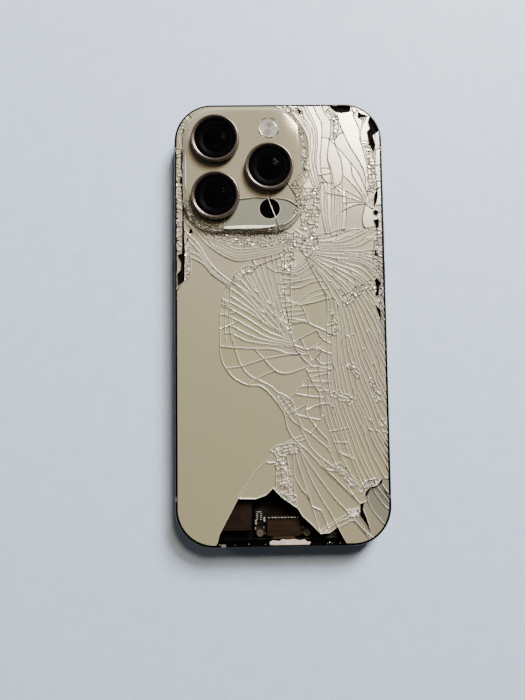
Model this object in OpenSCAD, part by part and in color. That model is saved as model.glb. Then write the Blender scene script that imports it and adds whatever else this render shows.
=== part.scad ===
// Smartphone lying on its screen, with its rear glass shattered and torn open
// along the bottom edge. +Z points up out of the rear glass, +Y towards the
// phone's top edge, and +X to the right as the rear is seen. The origin lies
// under the middle of the front glass, on the surface that the phone rests on.

/* [Body] */
// Width across the metal band
body_w = 71.5; // [60:0.5:86]
// Length from the top edge to the bottom edge
body_l = 149.6; // [126:0.5:180]
// Thickness from the front glass to the rear glass
body_t = 8.25; // [7.9:0.05:10]
// Radius of the four corners, seen from the rear
corner_r = 13; // [12:0.5:15.5]
// Wall of the metal band
band_wall = 1.8; // [1.5:0.1:2.2]
// How far the band's long edges curve in
band_curve = 0.42; // [0.3:0.02:0.6]
lip_w = 0.38; // [0.3:0.02:0.5]
// How far each glass stands proud of the band
glass_proud = 0.15; // [0.1:0.05:0.35]
// Gap between the band's lip and each glass
glass_gap = 0.05; // [0.04:0.01:0.15]

/* [Front] */
// Thickness of the front glass
front_glass_t = 0.75; // [0.6:0.05:0.9]
// Thickness of the display panel and its bezel
display_t = 0.8; // [0.7:0.05:0.9]
// Thickness of the heat-spreading sheet behind the display
heat_sheet_t = 0.45; // [0.4:0.05:0.5]
// Thickness of the chassis plate
chassis_t = 0.6; // [0.5:0.05:0.8]
// Width of the plastic bezel round the display panel
bezel_w = 2.5; // [2:0.1:3]

/* [Rear] */
// Thickness of the rear glass
rear_glass_t = 0.8; // [0.6:0.05:0.9]
// Thickness of the adhesive film under the rear glass
film_t = 0.2; // [0.15:0.05:0.3]
// Width of the open cracks that part the shards
crack_w = 0.1; // [0.06:0.01:0.16]
// Width of the camera plateau at its foot
plateau_w = 41.2; // [40:0.1:44]
// Length of the camera plateau at its foot
plateau_l = 43.4; // [42:0.1:46]
// Height of the camera plateau above the rear glass
plateau_h = 1.95; // [1.6:0.05:2.4]
// Radius of the plateau's corners
plateau_r = 11.5; // [10:0.5:13]
// Width of the rounded slope round the plateau
plateau_slope = 2.2; // [1.6:0.1:2.6]
// Distance from the phone's left edge to the plateau's foot
plateau_side = 3.15; // [3:0.05:4]
// Distance from the phone's top edge to the plateau's foot
plateau_top = 1.8; // [1.6:0.1:2.6]

/* [Cameras] */
// Distance across the plateau between the two columns of lenses
lens_pitch_x = 18.1; // [17.6:0.1:19]
// Distance along the plateau between the two left-hand lenses
lens_pitch_y = 19.5; // [18.6:0.1:20.5]
// Outer radius of a lens ring
ring_r = 8.15; // [7.8:0.05:8.4]
// Height of a lens ring above the plateau
ring_h = 2.3; // [1.8:0.1:2.8]
// Wall of a lens ring at its mouth
ring_wall = 1.15; // [1:0.05:1.3]
// Thickness of a lens ring's cover glass
cover_t = 0.6; // [0.5:0.05:0.8]
// Side of a square camera module
module_side = 14.2; // [13.6:0.1:14.4]
// Radius of the flash lens and of the range sensor's window
window_r = 3.3; // [3:0.05:3.6]

/* [Buttons and tray] */
// How far a button stands out of the band
button_proud = 0.45; // [0.3:0.05:0.6]
// How far a button travels when it is pressed
button_travel = 0.3; // [0.2:0.05:0.35]
// Height of a button's cap
button_h = 2.6; // [2.4:0.1:2.8]
// Length of the power button
power_len = 16.4; // [14:0.1:18]
// Length of each volume button
volume_len = 9.6; // [8:0.1:11]
// Length of the action button
action_len = 5.6; // [5:0.1:7]
// Distance from the top edge to the middle of the power button
power_at = 55.6; // [53:0.1:58]
// Distance from the top edge to the middle of the action button
action_at = 31.5; // [30:0.1:33]
// Distance from the top edge to the middle of the volume up button
volume_up_at = 44.5; // [43:0.1:46]
// Distance from the top edge to the middle of the volume down button
volume_down_at = 58; // [57:0.1:60]
// Clearance round a button or the tray in its slot
slot_clear = 0.12; // [0.1:0.01:0.2]
// Length of the card tray's face along the band
tray_len = 14.6; // [14:0.1:16]
// Depth that the card tray reaches into the phone
tray_depth = 17.5; // [17:0.1:19]
// Thickness of the card tray
tray_t = 0.9; // [0.8:0.05:1.1]

/* [Charging port] */
// Width of the port's opening
port_w = 8.4; // [8.3:0.05:9]
// Height of the port's opening
port_h = 2.6; // [2.5:0.05:2.8]
// Wall of the port's metal shell
port_wall = 0.3; // [0.25:0.05:0.4]
// Depth of the port's shell behind the band
port_depth = 7.2; // [6.8:0.1:8]
// Radius of the speaker and microphone holes
grille_r = 0.75; // [0.6:0.05:0.8]
// Spacing of the speaker and microphone holes
grille_pitch = 2.6; // [2.4:0.1:3]

/* [Inside] */
// Width of the logic board
board_w = 19.6; // [18:0.1:22]
// Thickness of the logic board
board_t = 0.8; // [0.6:0.05:1]
// Height of the shield cans on the board
shield_h = 1.7; // [1.4:0.1:1.8]
// Side of the haptic motor along the bottom edge
haptic_w = 18.5; // [16:0.1:20]
// Side of the haptic motor along the phone
haptic_l = 18.6; // [16:0.1:20]
// Height of the haptic motor
haptic_h = 3.7; // [3.2:0.1:3.9]
// Length of the loudspeaker along the phone
speaker_l = 20.5; // [18:0.1:22]
// Inner radius of the charging coil
coil_in = 11; // [9:0.5:13]
// Outer radius of the charging coil
coil_out = 21.5; // [20:0.5:22]
// Outer radius of the ring of magnets round the coil
magnet_out = 27; // [26.5:0.5:27.5]
// Gap between the ring of magnets and the camera plateau
magnet_gap = 4.6; // [3.6:0.1:6]
// Radius of a screw head
screw_r = 1.1; // [1:0.05:1.2]

/* [Hidden] */
$fn = 48;
eps = 0.01;

// Heights, from the front glass up
display_z = front_glass_t;
heat_z = display_z + display_t;
chassis_z = heat_z + heat_sheet_t;
floor_z = chassis_z + chassis_t;
glass_z = body_t - rear_glass_t;
film_z = glass_z - film_t;
band_z0 = glass_proud;
band_z1 = body_t - glass_proud;
mid_z = body_t / 2;
plateau_z = body_t + plateau_h;
ring_z = plateau_z + ring_h;

// Widths of the stepped band, measured inwards from its widest line
lip_u = band_curve + lip_w;
glass_u = lip_u + glass_gap;
ledge_u = band_wall + 0.8;
ledge_t = 0.8;
bevel_z = film_z - ledge_t - 0.6;
plate_u = band_wall + 0.05;
inner_x = body_w / 2 - band_wall;
inner_y = body_l / 2 - band_wall;

// The crack map was drawn on a 71.5 by 149.6 mm back, and scales with the back
map_x = body_w / 71.5;
map_y = body_l / 149.6;
function on_back(points) = [for (p = points) [p[0] * map_x, p[1] * map_y]];

// A soft curve through a few guide points
steps = 3;
function knot(a, b, c, d, t) = 0.5 * (2 * b + (c - a) * t + (2 * a - 5 * b + 4 * c - d) * t * t
  + (3 * b - a - 3 * c + d) * t * t * t);
function soft_line(p) = let (n = len(p)) concat(
  [for (i = [0:n - 2], k = [0:steps - 1])
    knot(p[max(i - 1, 0)], p[i], p[i + 1], p[min(i + 2, n - 1)], k / steps)],
  [p[n - 1]]);
function side_step(p, i) = let (d = p[min(i + 1, len(p) - 1)] - p[max(i - 1, 0)])
  [-d[1], d[0]] / norm(d);
function stretch(p, by) = let (n = len(p), a = p[0] - p[1], b = p[n - 1] - p[n - 2]) concat(
  [p[0] + a / norm(a) * by], [for (i = [1:n - 2]) p[i]], [p[n - 1] + b / norm(b) * by]);
function ribbon(p, w) = concat(
  [for (i = [0:len(p) - 1]) p[i] + side_step(p, i) * w / 2],
  [for (i = [len(p) - 1:-1:0]) p[i] - side_step(p, i) * w / 2]);
crack_over = 0.4;

// Open cracks of the plateau, from its middle: through the sensor's window, then at its crushed rim
PLATEAU_CRACKS = [
  [[8.1, -6.7], [8.9, -10.9], [9.9, -14.9], [11.4, -18.9], [13.2, -23.1]],
  [[14.4, -4.9], [18.4, -10.9], [23.4, -16.7]],
  [[-15, -13.9], [-18, -16.5], [-21.2, -17.9]]
];

// Open cracks of the back, each from its start to its end
CRACKS = [
  // two arcs round the smooth lower left, then down to the lower right corner
  [[-20.2, 6], [-20.6, -5], [-20, -13], [-16.5, -18.6], [-11.5, -21.6], [-7, -22.1], [-2.5, -26.6],
    [0.7, -31.5], [3.8, -39.8], [10, -46.6], [17, -54], [25.6, -61.4]],
  [[-17, 5], [-16, -6.5], [-13.4, -15.2], [-8.5, -19.9], [-4.4, -21.8], [-0.5, -25.4], [3.6, -31],
    [7.2, -38.5]],
  // the long arc in from the left edge, through the middle and down to the right
  [[-32.6, 30.4], [-26.5, 23], [-21.5, 16.8], [-15.5, 12.4], [-9, 6.6], [-2, -0.8], [4, -7.6],
    [8.6, -14.4], [11.8, -23], [13.4, -30.5], [17, -40], [21, -48.5], [25, -54.5], [27.6, -59]],
  // fan of the middle left
  [[-19, 5.2], [-12, 2.4], [-5, -2.4], [3.6, -7.2]],
  [[-16.6, -2.4], [-10, -5.8], [-3, -8], [5, -9.4]],
  [[-15.9, -9.6], [-5, -10.2], [2, -11.6], [6.4, -11.8]],
  [[-13.3, -15.4], [-5.6, -13.2], [2.2, -11.7]],
  [[-10.6, 15.6], [-6, 8.6], [-1, 1.8], [3.8, -7.2]],
  [[-6, 19], [-2.6, 11], [0.6, 3], [3.8, -7.2]],
  // spine and steps of the middle
  [[4, 25.4], [3.4, 14], [3.6, 4], [4, -7.8]],
  [[1.4, 14.6], [6.4, 15.4], [10.4, 18.2]],
  [[3.4, 5], [8, 5.2], [15.2, 6.6]],
  [[3.8, -1.2], [9.6, -1.2], [15.3, -4.1]],
  [[4, -7.6], [8, -5.6], [15.3, -4.1]],
  [[9, 20.4], [13.2, 13.4], [15.4, 4], [14.8, -4], [13.6, -13], [12.4, -25]],
  // fan that sweeps to the right edge
  [[1, 28.4], [10, 23.2], [20, 20.8], [28, 20.2], [33, 17]],
  [[9, 20.8], [17, 16.6], [24, 10], [29.4, 1.4], [35.2, -10]],
  [[9, 20.4], [14.6, 11.4], [19, 2.6], [25.4, -9], [35.2, -28]],
  [[15.2, 7], [17, -4], [20.4, -18], [27, -36], [35.2, -52]],
  [[12.6, -24.6], [16.6, -36.6], [22.4, -50.6]],
  // cracks down from the top edge, and the star near the right edge
  [[9.4, 74.6], [11.4, 60], [11, 50], [12.6, 40], [10.4, 31], [9.6, 23.4]],
  [[15, 74.6], [15.4, 62], [14.4, 50], [16.6, 43.4], [15, 34], [13.2, 23.4]],
  [[20, 72], [24, 62], [28, 53], [31.6, 41]],
  [[16.2, 43.2], [22, 42.2], [29.2, 39.4], [33, 37]],
  [[24, 60.8], [18, 61.4], [15.2, 62]],
  // second, smaller star above the hole in the bottom
  [[-14.9, -58.9], [-9, -50.4], [-4.4, -46], [3.8, -39.8]],
  [[4.6, -41.4], [5.4, -50], [9.4, -60], [12, -70.6]],
  [[5.2, -42.6], [11, -55], [17, -67.6]],
  [[12, -70.6], [17, -67.2], [25.2, -62.6]]
];

// Places where glass has fallen out: the torn bottom, then chips along the edges
MISSING = [
  [[-22.4, -76], [-21.6, -73], [-20.9, -70.2], [-14.8, -58.8], [-9, -59], [-5.6, -57.8], [-3.4, -55.7],
    [-0.5, -58.7], [4.6, -62.3], [6, -64.7], [9.5, -67.9], [11.8, -70.5], [15, -70.2],
    [17.5, -68.4], [20.4, -74.2], [20.8, -76]],
  [[26.7, -58.3], [27.2, -57], [28.6, -55.7], [30.6, -55.3], [32.8, -52.8], [32.4, -54.4],
    [30.2, -56.1], [28.6, -56.3], [27.3, -58.6]],
  [[25.2, -61], [26.4, -60.7], [25.9, -62.8], [26.9, -65.3], [28.3, -69.6], [26.3, -66.6],
    [25, -64.8]],
  [[-33.3, 46], [-32.7, 40], [-32.9, 30], [-33, 22.8], [-34.5, 22.2], [-33.3, 19.6], [-33.5, 17],
    [-34.7, 15.6], [-34.4, 11.6], [-32.2, 13.4], [-32, 24], [-32.3, 30], [-32.4, 38], [-32.9, 46]],
  [[17.2, 75.6], [18.4, 72.9], [20, 71.7], [22, 71.4], [24.6, 71.9], [25, 73], [25, 75.6]],
  [[27.5, 71.4], [31, 70.1], [27.7, 69.4]],
  [[31.8, 70], [31, 68], [31.6, 65.6], [30.6, 64.4], [31.2, 59.8], [32.6, 57.4], [33.2, 60], [32.4, 63.2],
    [35.4, 65.8], [37, 70]],
  [[33.6, 45.2], [32.5, 42], [32.2, 38.3], [32.9, 39.4], [33.5, 42]],
  [[32, 36.8], [33.7, 37], [33.2, 35.3], [32.2, 35.6]],
  [[32.1, 33.6], [33.7, 34], [33.6, 31.4], [32.9, 30.6]],
  [[32.1, 23.8], [33.2, 21.2], [32, 21.4]],
  [[31.8, 13], [32.6, 13.7], [34, 12], [33.3, 11], [33.1, 7.8], [31.9, 7.8], [32.4, 10.5]],
  [[31.7, 4.6], [33.5, 3.2], [33.7, 0], [33, 0.8]]
];

// Camera layout, from the middle of the plateau
plateau_x0 = -body_w / 2 + plateau_side;
plateau_y1 = body_l / 2 - plateau_top;
plateau_c = [plateau_x0 + plateau_w / 2, plateau_y1 - plateau_l / 2];
column_x = lens_pitch_x / 2;
upper_lens = plateau_c + [-column_x - 0.3, lens_pitch_y / 2];
lower_lens = plateau_c + [-column_x - 0.3, -lens_pitch_y / 2];
right_lens = plateau_c + [column_x - 0.3, 0];
flash_at = plateau_c + [column_x - 0.3, 13.9];
range_at = plateau_c + [column_x - 0.3, -14];
plateau_skin = 0.8;
plateau_wall = 1.3;
pocket_z = plateau_z - plateau_skin - 0.05;
sleeve_r = ring_r - 0.45;
seat_r = ring_r - ring_wall - 0.6;
cover_z = ring_z - 0.5 - cover_t;
barrel_r = seat_r - 0.4;
bracket_z = floor_z + 4;
bracket_t = 0.5;
post_r = 1.05;
BRACKET_POSTS = [plateau_c + [-0.6, 11.2], plateau_c + [-0.6, -11.4], plateau_c + [-column_x - 0.3, 0],
  plateau_c + [17.2, 10]];

// Buttons: [which side, middle along the phone, length of the cap]
power_y = body_l / 2 - power_at;
action_y = body_l / 2 - action_at;
volume_up_y = body_l / 2 - volume_up_at;
volume_down_y = body_l / 2 - volume_down_at;
BUTTONS = [[-1, power_y, power_len], [1, action_y, action_len], [1, volume_up_y, volume_len],
  [1, volume_down_y, volume_len]];
flange_t = 0.4;
flange_u = band_wall + 0.1;
nub_t = 0.2;
switch_u = flange_u + flange_t + nub_t + button_travel + 0.05;

// Layout of the inside, from the edges of the band
switch_space = 2.2;
row_gap = 0.5;
board_x1 = inner_x - switch_space - row_gap;
board_x0 = board_x1 - board_w;
board_z = floor_z + 0.7;
board_y1 = inner_y - 11;
tray_y = volume_down_y - volume_len / 2 - 20;
board_y0 = tray_y + tray_len / 2 + 1.6;
battery_x0 = -inner_x + switch_space + row_gap;
battery_x1 = board_x0 - 2;
battery_y1 = plateau_y1 - plateau_l - 1.2;
battery_foot_y1 = tray_y - tray_len / 2 - 2;
battery_t = film_z - 0.95 - floor_z;
haptic_x1 = -port_w / 2 - 6.3;
haptic_y0 = -inner_y + 3.5;
haptic_lug_l = 3.2;
haptic_lug_t = 0.5;
battery_y0 = haptic_y0 + haptic_l + haptic_lug_l + row_gap;
speaker_x0 = port_w / 2 + 7.6;
port_z = floor_z + port_h / 2 + port_wall + 0.1;
coil_at = [0, plateau_y1 - plateau_l - magnet_gap - magnet_out];
coil_t = 0.55;
coil_z = film_z - coil_t;
camera_x = (board_x0 + board_x1) / 2;
camera_y = inner_y - 7;

// Screws that hold things inside: [x, y, height of the underside of the head]
port_lug_x = port_w / 2 + 3.6;
port_lug_y = -inner_y + 2.2;
lug_z = floor_z + 2.2;
haptic_lug_y = haptic_y0 + haptic_l + haptic_lug_l / 2;
INNER_SCREWS = concat(
  [for (p = BRACKET_POSTS) [p[0], p[1], bracket_z + bracket_t]],
  [for (y = [board_y0 + 2.2, board_y1 - 2.2]) [board_x0 + 2.4, y, board_z + board_t]],
  [for (s = [-1, 1]) [s * port_lug_x, port_lug_y, lug_z]],
  [for (x = [haptic_x1 - 3, haptic_x1 - haptic_w + 4]) [x, haptic_lug_y, floor_z + haptic_lug_t]]);
screw_shaft_r = 0.55;
screw_head_t = 0.45;

// Flat shapes
module round_rect(w, l, r) {
  square([w - 2 * r, l], center = true);
  square([w, l - 2 * r], center = true);
  for (sx = [-1, 1], sy = [-1, 1]) translate([sx * (w / 2 - r), sy * (l / 2 - r)]) circle(r);
}

module outline(inset) {
  round_rect(body_w - 2 * inset, body_l - 2 * inset, corner_r - inset);
}

module layer(inset, z0, z1) {
  translate([0, 0, z0]) linear_extrude(z1 - z0) outline(inset);
}

// A profile of [inwards, up] points, carried round a rounded rectangle
module sweep_round(w, l, r, profile) {
  turned = [for (p = profile) [r - p[0], p[1]]];
  for (k = [0:3]) {
    half = k % 2 == 0 ? w / 2 : l / 2;
    run = (k % 2 == 0 ? l : w) - 2 * r;
    rotate(90 * k) translate([half - r, 0, 0]) rotate([90, 0, 0])
      linear_extrude(run, center = true) polygon(turned);
    rotate(90 * k) translate([half - r, run / 2, 0]) rotate_extrude(angle = 90, $fn = 96)
      polygon(turned);
  }
}

// A bar with round ends, lying along Y and pointing along X from x0 to x1
module pill(x0, x1, y, z, len, h) {
  translate([x0, y, z]) rotate([90, 0, 90]) linear_extrude(x1 - x0) pill_flat(len, h);
}

module pill_flat(len, h) {
  square([len - h, h], center = true);
  for (s = [-1, 1]) translate([s * (len - h) / 2, 0]) circle(h / 2);
}

module block(x0, x1, y0, y1, z0, z1) {
  translate([x0, y0, z0]) cube([x1 - x0, y1 - y0, z1 - z0]);
}

module peg(at, r, z0, z1) {
  translate([at[0], at[1], z0]) cylinder(h = z1 - z0, r = r);
}

module slab_of(points, z0, z1) {
  translate([0, 0, z0]) linear_extrude(z1 - z0) polygon(points);
}

// Front of the phone
module front_glass() {
  edge = [[3, 0], [1.25, 0], [1.05, 0.06], [0.92, 0.18], [glass_u, 0.38], [glass_u, front_glass_t],
    [3, front_glass_t]];
  color("#101214") difference() {
    union() {
      layer(3, 0, front_glass_t);
      sweep_round(body_w, body_l, corner_r, edge);
    }
    translate([0, body_l / 2 - glass_u - 1.1, -eps]) linear_extrude(front_glass_t + 2 * eps)
      pill_flat(11, 0.6);
  }
}

module display_panel() {
  color("#1b1c22") difference() {
    layer(glass_u + bezel_w + 0.1, display_z, heat_z);
    peg([camera_x, camera_y], 2.4, display_z - eps, heat_z + eps);
  }
}

module display_bezel() {
  color("#242424") difference() {
    layer(glass_u, display_z, heat_z);
    layer(glass_u + bezel_w, display_z - eps, heat_z + eps);
  }
}

module display_heat_sheet() {
  color("#3a3a3c") difference() {
    layer(ledge_u + 0.15, heat_z, chassis_z);
    peg([camera_x, camera_y], 2.4, heat_z - eps, chassis_z + eps);
    flex_window(heat_z - eps, chassis_z + eps);
  }
}

// Window that the display's flexible circuit climbs through
flex_x = board_x0 - 1;
flex_y = board_y0 + 12;
flex_w = 9;
flex_t = 0.15;
flex_reach = 5;
module flex_window(z0, z1) {
  block(flex_x - 0.3, flex_x + flex_reach + 0.4, flex_y - 0.4, flex_y + flex_w + 0.4, z0, z1);
}

module display_flex() {
  top = board_z + board_t;
  side = [[flex_x + flex_reach, heat_z], [flex_x, heat_z], [flex_x, top + flex_t],
    [flex_x + 4, top + flex_t], [flex_x + 4, top], [flex_x + flex_t, top],
    [flex_x + flex_t, heat_z + flex_t], [flex_x + flex_reach, heat_z + flex_t]];
  color("#7a4a1e") translate([0, flex_y + flex_w, 0]) rotate([90, 0, 0]) linear_extrude(flex_w)
    polygon(side);
}

// Metal band and what fills its cuts
half_t = (band_z1 - band_z0) / 2;
BAND_PROFILE = concat(
  [for (t = [-1:0.1:1.01]) [band_curve * pow(abs(t), 7), mid_z + half_t * t]],
  [[lip_u, band_z1], [lip_u, film_z], [ledge_u, film_z], [ledge_u, film_z - ledge_t],
    [band_wall, bevel_z], [band_wall, chassis_z], [ledge_u, chassis_z],
    [ledge_u, heat_z], [lip_u, heat_z], [lip_u, band_z0]]);
break_w = 1.5;
break_depth = 1.1;

module break_cuts(depth) {
  for (sx = [-1, 1], sy = [-1, 1]) {
    x0 = sx > 0 ? body_w / 2 - depth : -body_w / 2 - 1;
    y = sy * (body_l / 2 - corner_r - 3);
    block(x0, x0 + depth + 1, y - break_w / 2, y + break_w / 2, 0, body_t);
  }
  for (s = [-1, 1]) {
    y0 = s > 0 ? body_l / 2 - depth : -body_l / 2 - 1;
    x = s * (body_w / 2 - corner_r - 3);
    block(x - break_w / 2, x + break_w / 2, y0, y0 + depth + 1, 0, body_t);
  }
}

module band_blank() {
  sweep_round(body_w, body_l, corner_r, BAND_PROFILE);
}

GRILLE = [for (k = [0:4]) port_w / 2 + 8 + k * grille_pitch];
bottom_screw_x = port_w / 2 + 3.4;
bottom_screw_l = band_wall + 0.3;
screw_hole_r = 0.85;

module bottom_bore(x, z, r, y0, y1) {
  translate([x, y0, z]) rotate([-90, 0, 0]) cylinder(h = y1 - y0, r = r);
}

module outer_band() {
  bottom = -body_l / 2 - 1;
  color("#4b4a4c") difference() {
    band_blank();
    break_cuts(break_depth);
    for (b = BUTTONS) {
      x0 = b[0] > 0 ? body_w / 2 - ledge_u - 1 : -body_w / 2 - 1;
      pill(x0, x0 + ledge_u + 2, b[1], mid_z, b[2] + 2 * slot_clear, button_h + 2 * slot_clear);
    }
    pill(body_w / 2 - ledge_u - 1, body_w / 2 + 1, tray_y, mid_z, tray_len + 2 * slot_clear,
      tray_face_h + 2 * slot_clear);
    translate([body_w / 2 - band_wall - 1, tray_y - tray_len / 2 - 2.2, mid_z]) rotate([0, 90, 0])
      cylinder(h = band_wall + 2, r = 0.4);
    translate([0, bottom, port_z]) rotate([-90, 0, 0]) linear_extrude(band_wall + 2)
      pill_flat(port_w, port_h);
    for (s = [-1, 1]) {
      bottom_bore(s * bottom_screw_x, port_z, screw_hole_r, bottom, bottom + 1.9);
      bottom_bore(s * bottom_screw_x, port_z, screw_shaft_r + 0.05, bottom, bottom + 4);
      for (x = GRILLE) bottom_bore(s * x, port_z, grille_r, bottom, bottom + 4);
    }
  }
}

module antenna_breaks() {
  color("#6d6b69") intersection() {
    band_blank();
    break_cuts(break_depth);
  }
}

boss_r = 1.6;
module screw_boss(at, z1) {
  peg(at, boss_r, floor_z - eps, z1);
}

module chassis_plate() {
  color("#8e9094") difference() {
    union() {
      layer(plate_u, chassis_z, floor_z);
      for (p = BRACKET_POSTS) peg(p, post_r, floor_z - eps, bracket_z);
      for (s = INNER_SCREWS) if (s[2] == board_z + board_t) screw_boss(s, board_z);
      for (s = [-1, 1]) screw_boss([s * port_lug_x, port_lug_y], lug_z - 0.4);
      for (y = [board_y0 + 10, board_y1 - 8]) peg([board_x1 - 2.4, y], boss_r, floor_z - eps, board_z);
    }
    peg([camera_x, camera_y], 2.4, chassis_z - eps, floor_z + eps);
    flex_window(chassis_z - eps, floor_z + eps);
    for (s = INNER_SCREWS) peg(s, screw_shaft_r + 0.05, chassis_z + 0.1, s[2]);
  }
}

// Screws
module star_cut(r, depth) {
  for (k = [0:4]) rotate(72 * k) translate([0, -r * 0.16, -depth]) cube([r, r * 0.32, depth + eps]);
}

module bottom_screws() {
  head_y = -body_l / 2 + 0.1;
  color("#3c3b3d") for (s = [-1, 1])
    translate([s * bottom_screw_x, head_y, port_z]) rotate([90, 0, 0]) difference() {
      union() {
        translate([0, 0, -0.8]) cylinder(h = 0.8, r = screw_hole_r - 0.05);
        translate([0, 0, -bottom_screw_l]) cylinder(h = bottom_screw_l - 0.7, r = screw_shaft_r);
      }
      star_cut(0.6, 0.35);
    }
}

module inner_screws() {
  color("#b9b4a8") for (s = INNER_SCREWS) translate([s[0], s[1], s[2]]) difference() {
    union() {
      cylinder(h = screw_head_t, r = screw_r);
      translate([0, 0, chassis_z + 0.2 - s[2]]) cylinder(h = s[2] - chassis_z - 0.2 + eps, r = screw_shaft_r);
    }
    translate([0, 0, screw_head_t]) star_cut(0.8, 0.25);
  }
}

// Power and boards
module battery() {
  r = 1.5;
  color("#17181a") translate([0, 0, floor_z]) linear_extrude(battery_t) {
    translate([(battery_x0 + battery_x1) / 2, (battery_y0 + battery_y1) / 2])
      round_rect(battery_x1 - battery_x0, battery_y1 - battery_y0, r);
    translate([(battery_x0 + board_x1) / 2, (battery_y0 + battery_foot_y1) / 2])
      round_rect(board_x1 - battery_x0, battery_foot_y1 - battery_y0, r);
  }
}

module battery_flex() {
  top = board_z + board_t;
  y0 = board_y0 + 2.6 + 2 * screw_r;
  color("#8a5a24") union() {
    block(battery_x1, board_x0 + 3.4, y0, y0 + 4, top, top + flex_t);
    block(board_x0 + 0.6, board_x0 + 3.4, y0, y0 + 4, top + flex_t - eps, top + 0.9);
  }
}

module logic_board() {
  color("#1f5a3c") difference() {
    union() {
      block(board_x0, board_x1, board_y0, board_y1, board_z, board_z + board_t);
      block(board_x0 + 1.2, board_x1 - 4, board_y0 + 4, board_y0 + 9, board_z - 0.6, board_z + eps);
    }
    for (s = INNER_SCREWS) peg(s, screw_shaft_r + 0.1, board_z - eps, board_z + board_t + eps);
    block(camera_x - 4.6, camera_x + 4.6, camera_y - 4.6, board_y1 + 1, board_z - 1, board_z + board_t + 1);
  }
}

module can(x0, x1, y0, y1, z0) {
  wall = 0.2;
  difference() {
    block(x0, x1, y0, y1, z0, z0 + shield_h);
    block(x0 + wall, x1 - wall, y0 + wall, y1 - wall, z0 - eps, z0 + shield_h - wall);
  }
}

module board_shields() {
  z0 = board_z + board_t;
  split_y = flex_y + flex_w + 8;
  color("#a7a9ac") {
    can(board_x0 + 5, board_x1 - 0.6, board_y0 + 1, split_y - 0.6, z0);
    can(board_x0 + 4.6, board_x1 - 0.6, split_y, camera_y - 6, z0);
  }
}

module earpiece() {
  color("#2d2b2a") block(-9, 9, inner_y - 3.4, inner_y - 0.4, floor_z, floor_z + 2.8);
}

module front_camera() {
  color("#15161a") union() {
    block(camera_x - 4, camera_x + 4, camera_y - 4, camera_y + 4, floor_z, floor_z + 3.4);
    peg([camera_x, camera_y], 2.2, display_z + 0.1, floor_z + eps);
  }
}

// Things along the bottom edge
module haptic_motor() {
  x0 = haptic_x1 - haptic_w;
  middle = [(x0 + haptic_x1) / 2, haptic_y0 + haptic_l / 2];
  lug_y = haptic_y0 + haptic_l;
  color("#4a3526") difference() {
    union() {
      intersection() {
        block(x0, haptic_x1, haptic_y0, lug_y, floor_z, floor_z + haptic_h);
        layer(band_wall + row_gap, floor_z, film_z);
      }
      for (x = [haptic_x1 - 3, x0 + 4])
        block(x - 1.8, x + 1.8, lug_y - eps, lug_y + haptic_lug_l, floor_z, floor_z + haptic_lug_t);
    }
    for (s = INNER_SCREWS) peg(s, screw_shaft_r + 0.1, floor_z - 1, floor_z + 1);
    translate([middle[0], middle[1], floor_z + haptic_h - 0.15]) linear_extrude(1) difference() {
      square([haptic_w - 1, haptic_l - 1], center = true);
      square([haptic_w - 1.4, haptic_l - 1.4], center = true);
    }
  }
}

module loudspeaker() {
  y0 = -inner_y + 1.5;
  x1 = inner_x - 3;
  top = bevel_z - 0.1;
  color("#232120") intersection() {
    union() {
      block(speaker_x0, x1, y0, y0 + speaker_l, floor_z, top);
      block(speaker_x0 + 2, x1 - 8, -inner_y - 1, y0 + eps, floor_z + 0.3, top - 0.5);
    }
    layer(plate_u + 0.1, floor_z, film_z);
  }
}

module port_shell() {
  y0 = -inner_y + 0.05;
  color("#6b4a32") translate([0, y0, port_z]) rotate([-90, 0, 0]) difference() {
    linear_extrude(port_depth) pill_flat(port_w + 2 * port_wall, port_h + 2 * port_wall);
    translate([0, 0, -eps]) linear_extrude(port_depth - 0.8 + eps) pill_flat(port_w, port_h);
  }
}

module port_tongue() {
  y0 = -inner_y + 1.4;
  tongue_w = 6.6;
  y1 = -inner_y + port_depth - 0.75;
  color("#1c1c1d") block(-tongue_w / 2, tongue_w / 2, y0, y1, port_z - 0.35, port_z + 0.35);
}

module port_bracket() {
  top = port_z + port_h / 2 + port_wall;
  skin = 0.3;
  half = port_w / 2 + port_wall + 0.9;
  y0 = -inner_y + 1.5;
  y1 = -inner_y + port_depth + 0.5;
  side = half - skin;
  color("#7a5636") difference() {
    union() {
      block(-half, half, y0, y1, top, top + skin);
      for (s = [-1, 1]) {
        block(s > 0 ? side : -half, s > 0 ? half : -side, y0, y1, lug_z - 0.4, top + eps);
        block(s > 0 ? side : -port_lug_x - 1.4, s > 0 ? port_lug_x + 1.4 : -side, y0, y0 + 3,
          lug_z - 0.4, lug_z);
      }
      block(-half + 0.4, half - 0.4, y1 - 0.35, y1, top + skin - eps, top + skin + 0.25);
    }
    for (s = [-1, 1]) peg([s * port_lug_x, port_lug_y], screw_shaft_r + 0.1, lug_z - 1, lug_z + 1);
  }
}

module port_flex() {
  y1 = -inner_y + port_depth + 3;
  left = -port_w / 2 - 5.6;
  color("#14120f") union() {
    block(left, port_w / 2 + 5.6, y1 - 2.4, y1, floor_z, floor_z + flex_t);
    block(left, left + 3.6, -inner_y + 4.6, y1, floor_z, floor_z + flex_t);
    block(left + 0.2, left + 3.2, -inner_y + 5, y1 - 0.4, floor_z + flex_t - eps, floor_z + 2.4);
    block(left + 0.6, left + 2.8, y1 - 3.6, y1 - 1, floor_z + 2.4 - eps, floor_z + 3);
  }
}

// Buttons, their switches and the card tray
module button(side, y, len) {
  mirror([side > 0 ? 0 : 1, 0, 0]) {
    x_face = body_w / 2 + button_proud;
    x_flange = body_w / 2 - flange_u;
    pill(x_flange - eps, x_face, y, mid_z, len, button_h);
    pill(x_flange - flange_t, x_flange, y, mid_z, len + 1.4, button_h);
    translate([x_flange - flange_t - nub_t, y, mid_z]) rotate([0, 90, 0]) cylinder(h = nub_t + eps, r = 0.7);
  }
}

module power_button() {
  color("#48474a") button(-1, power_y, power_len);
}

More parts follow.
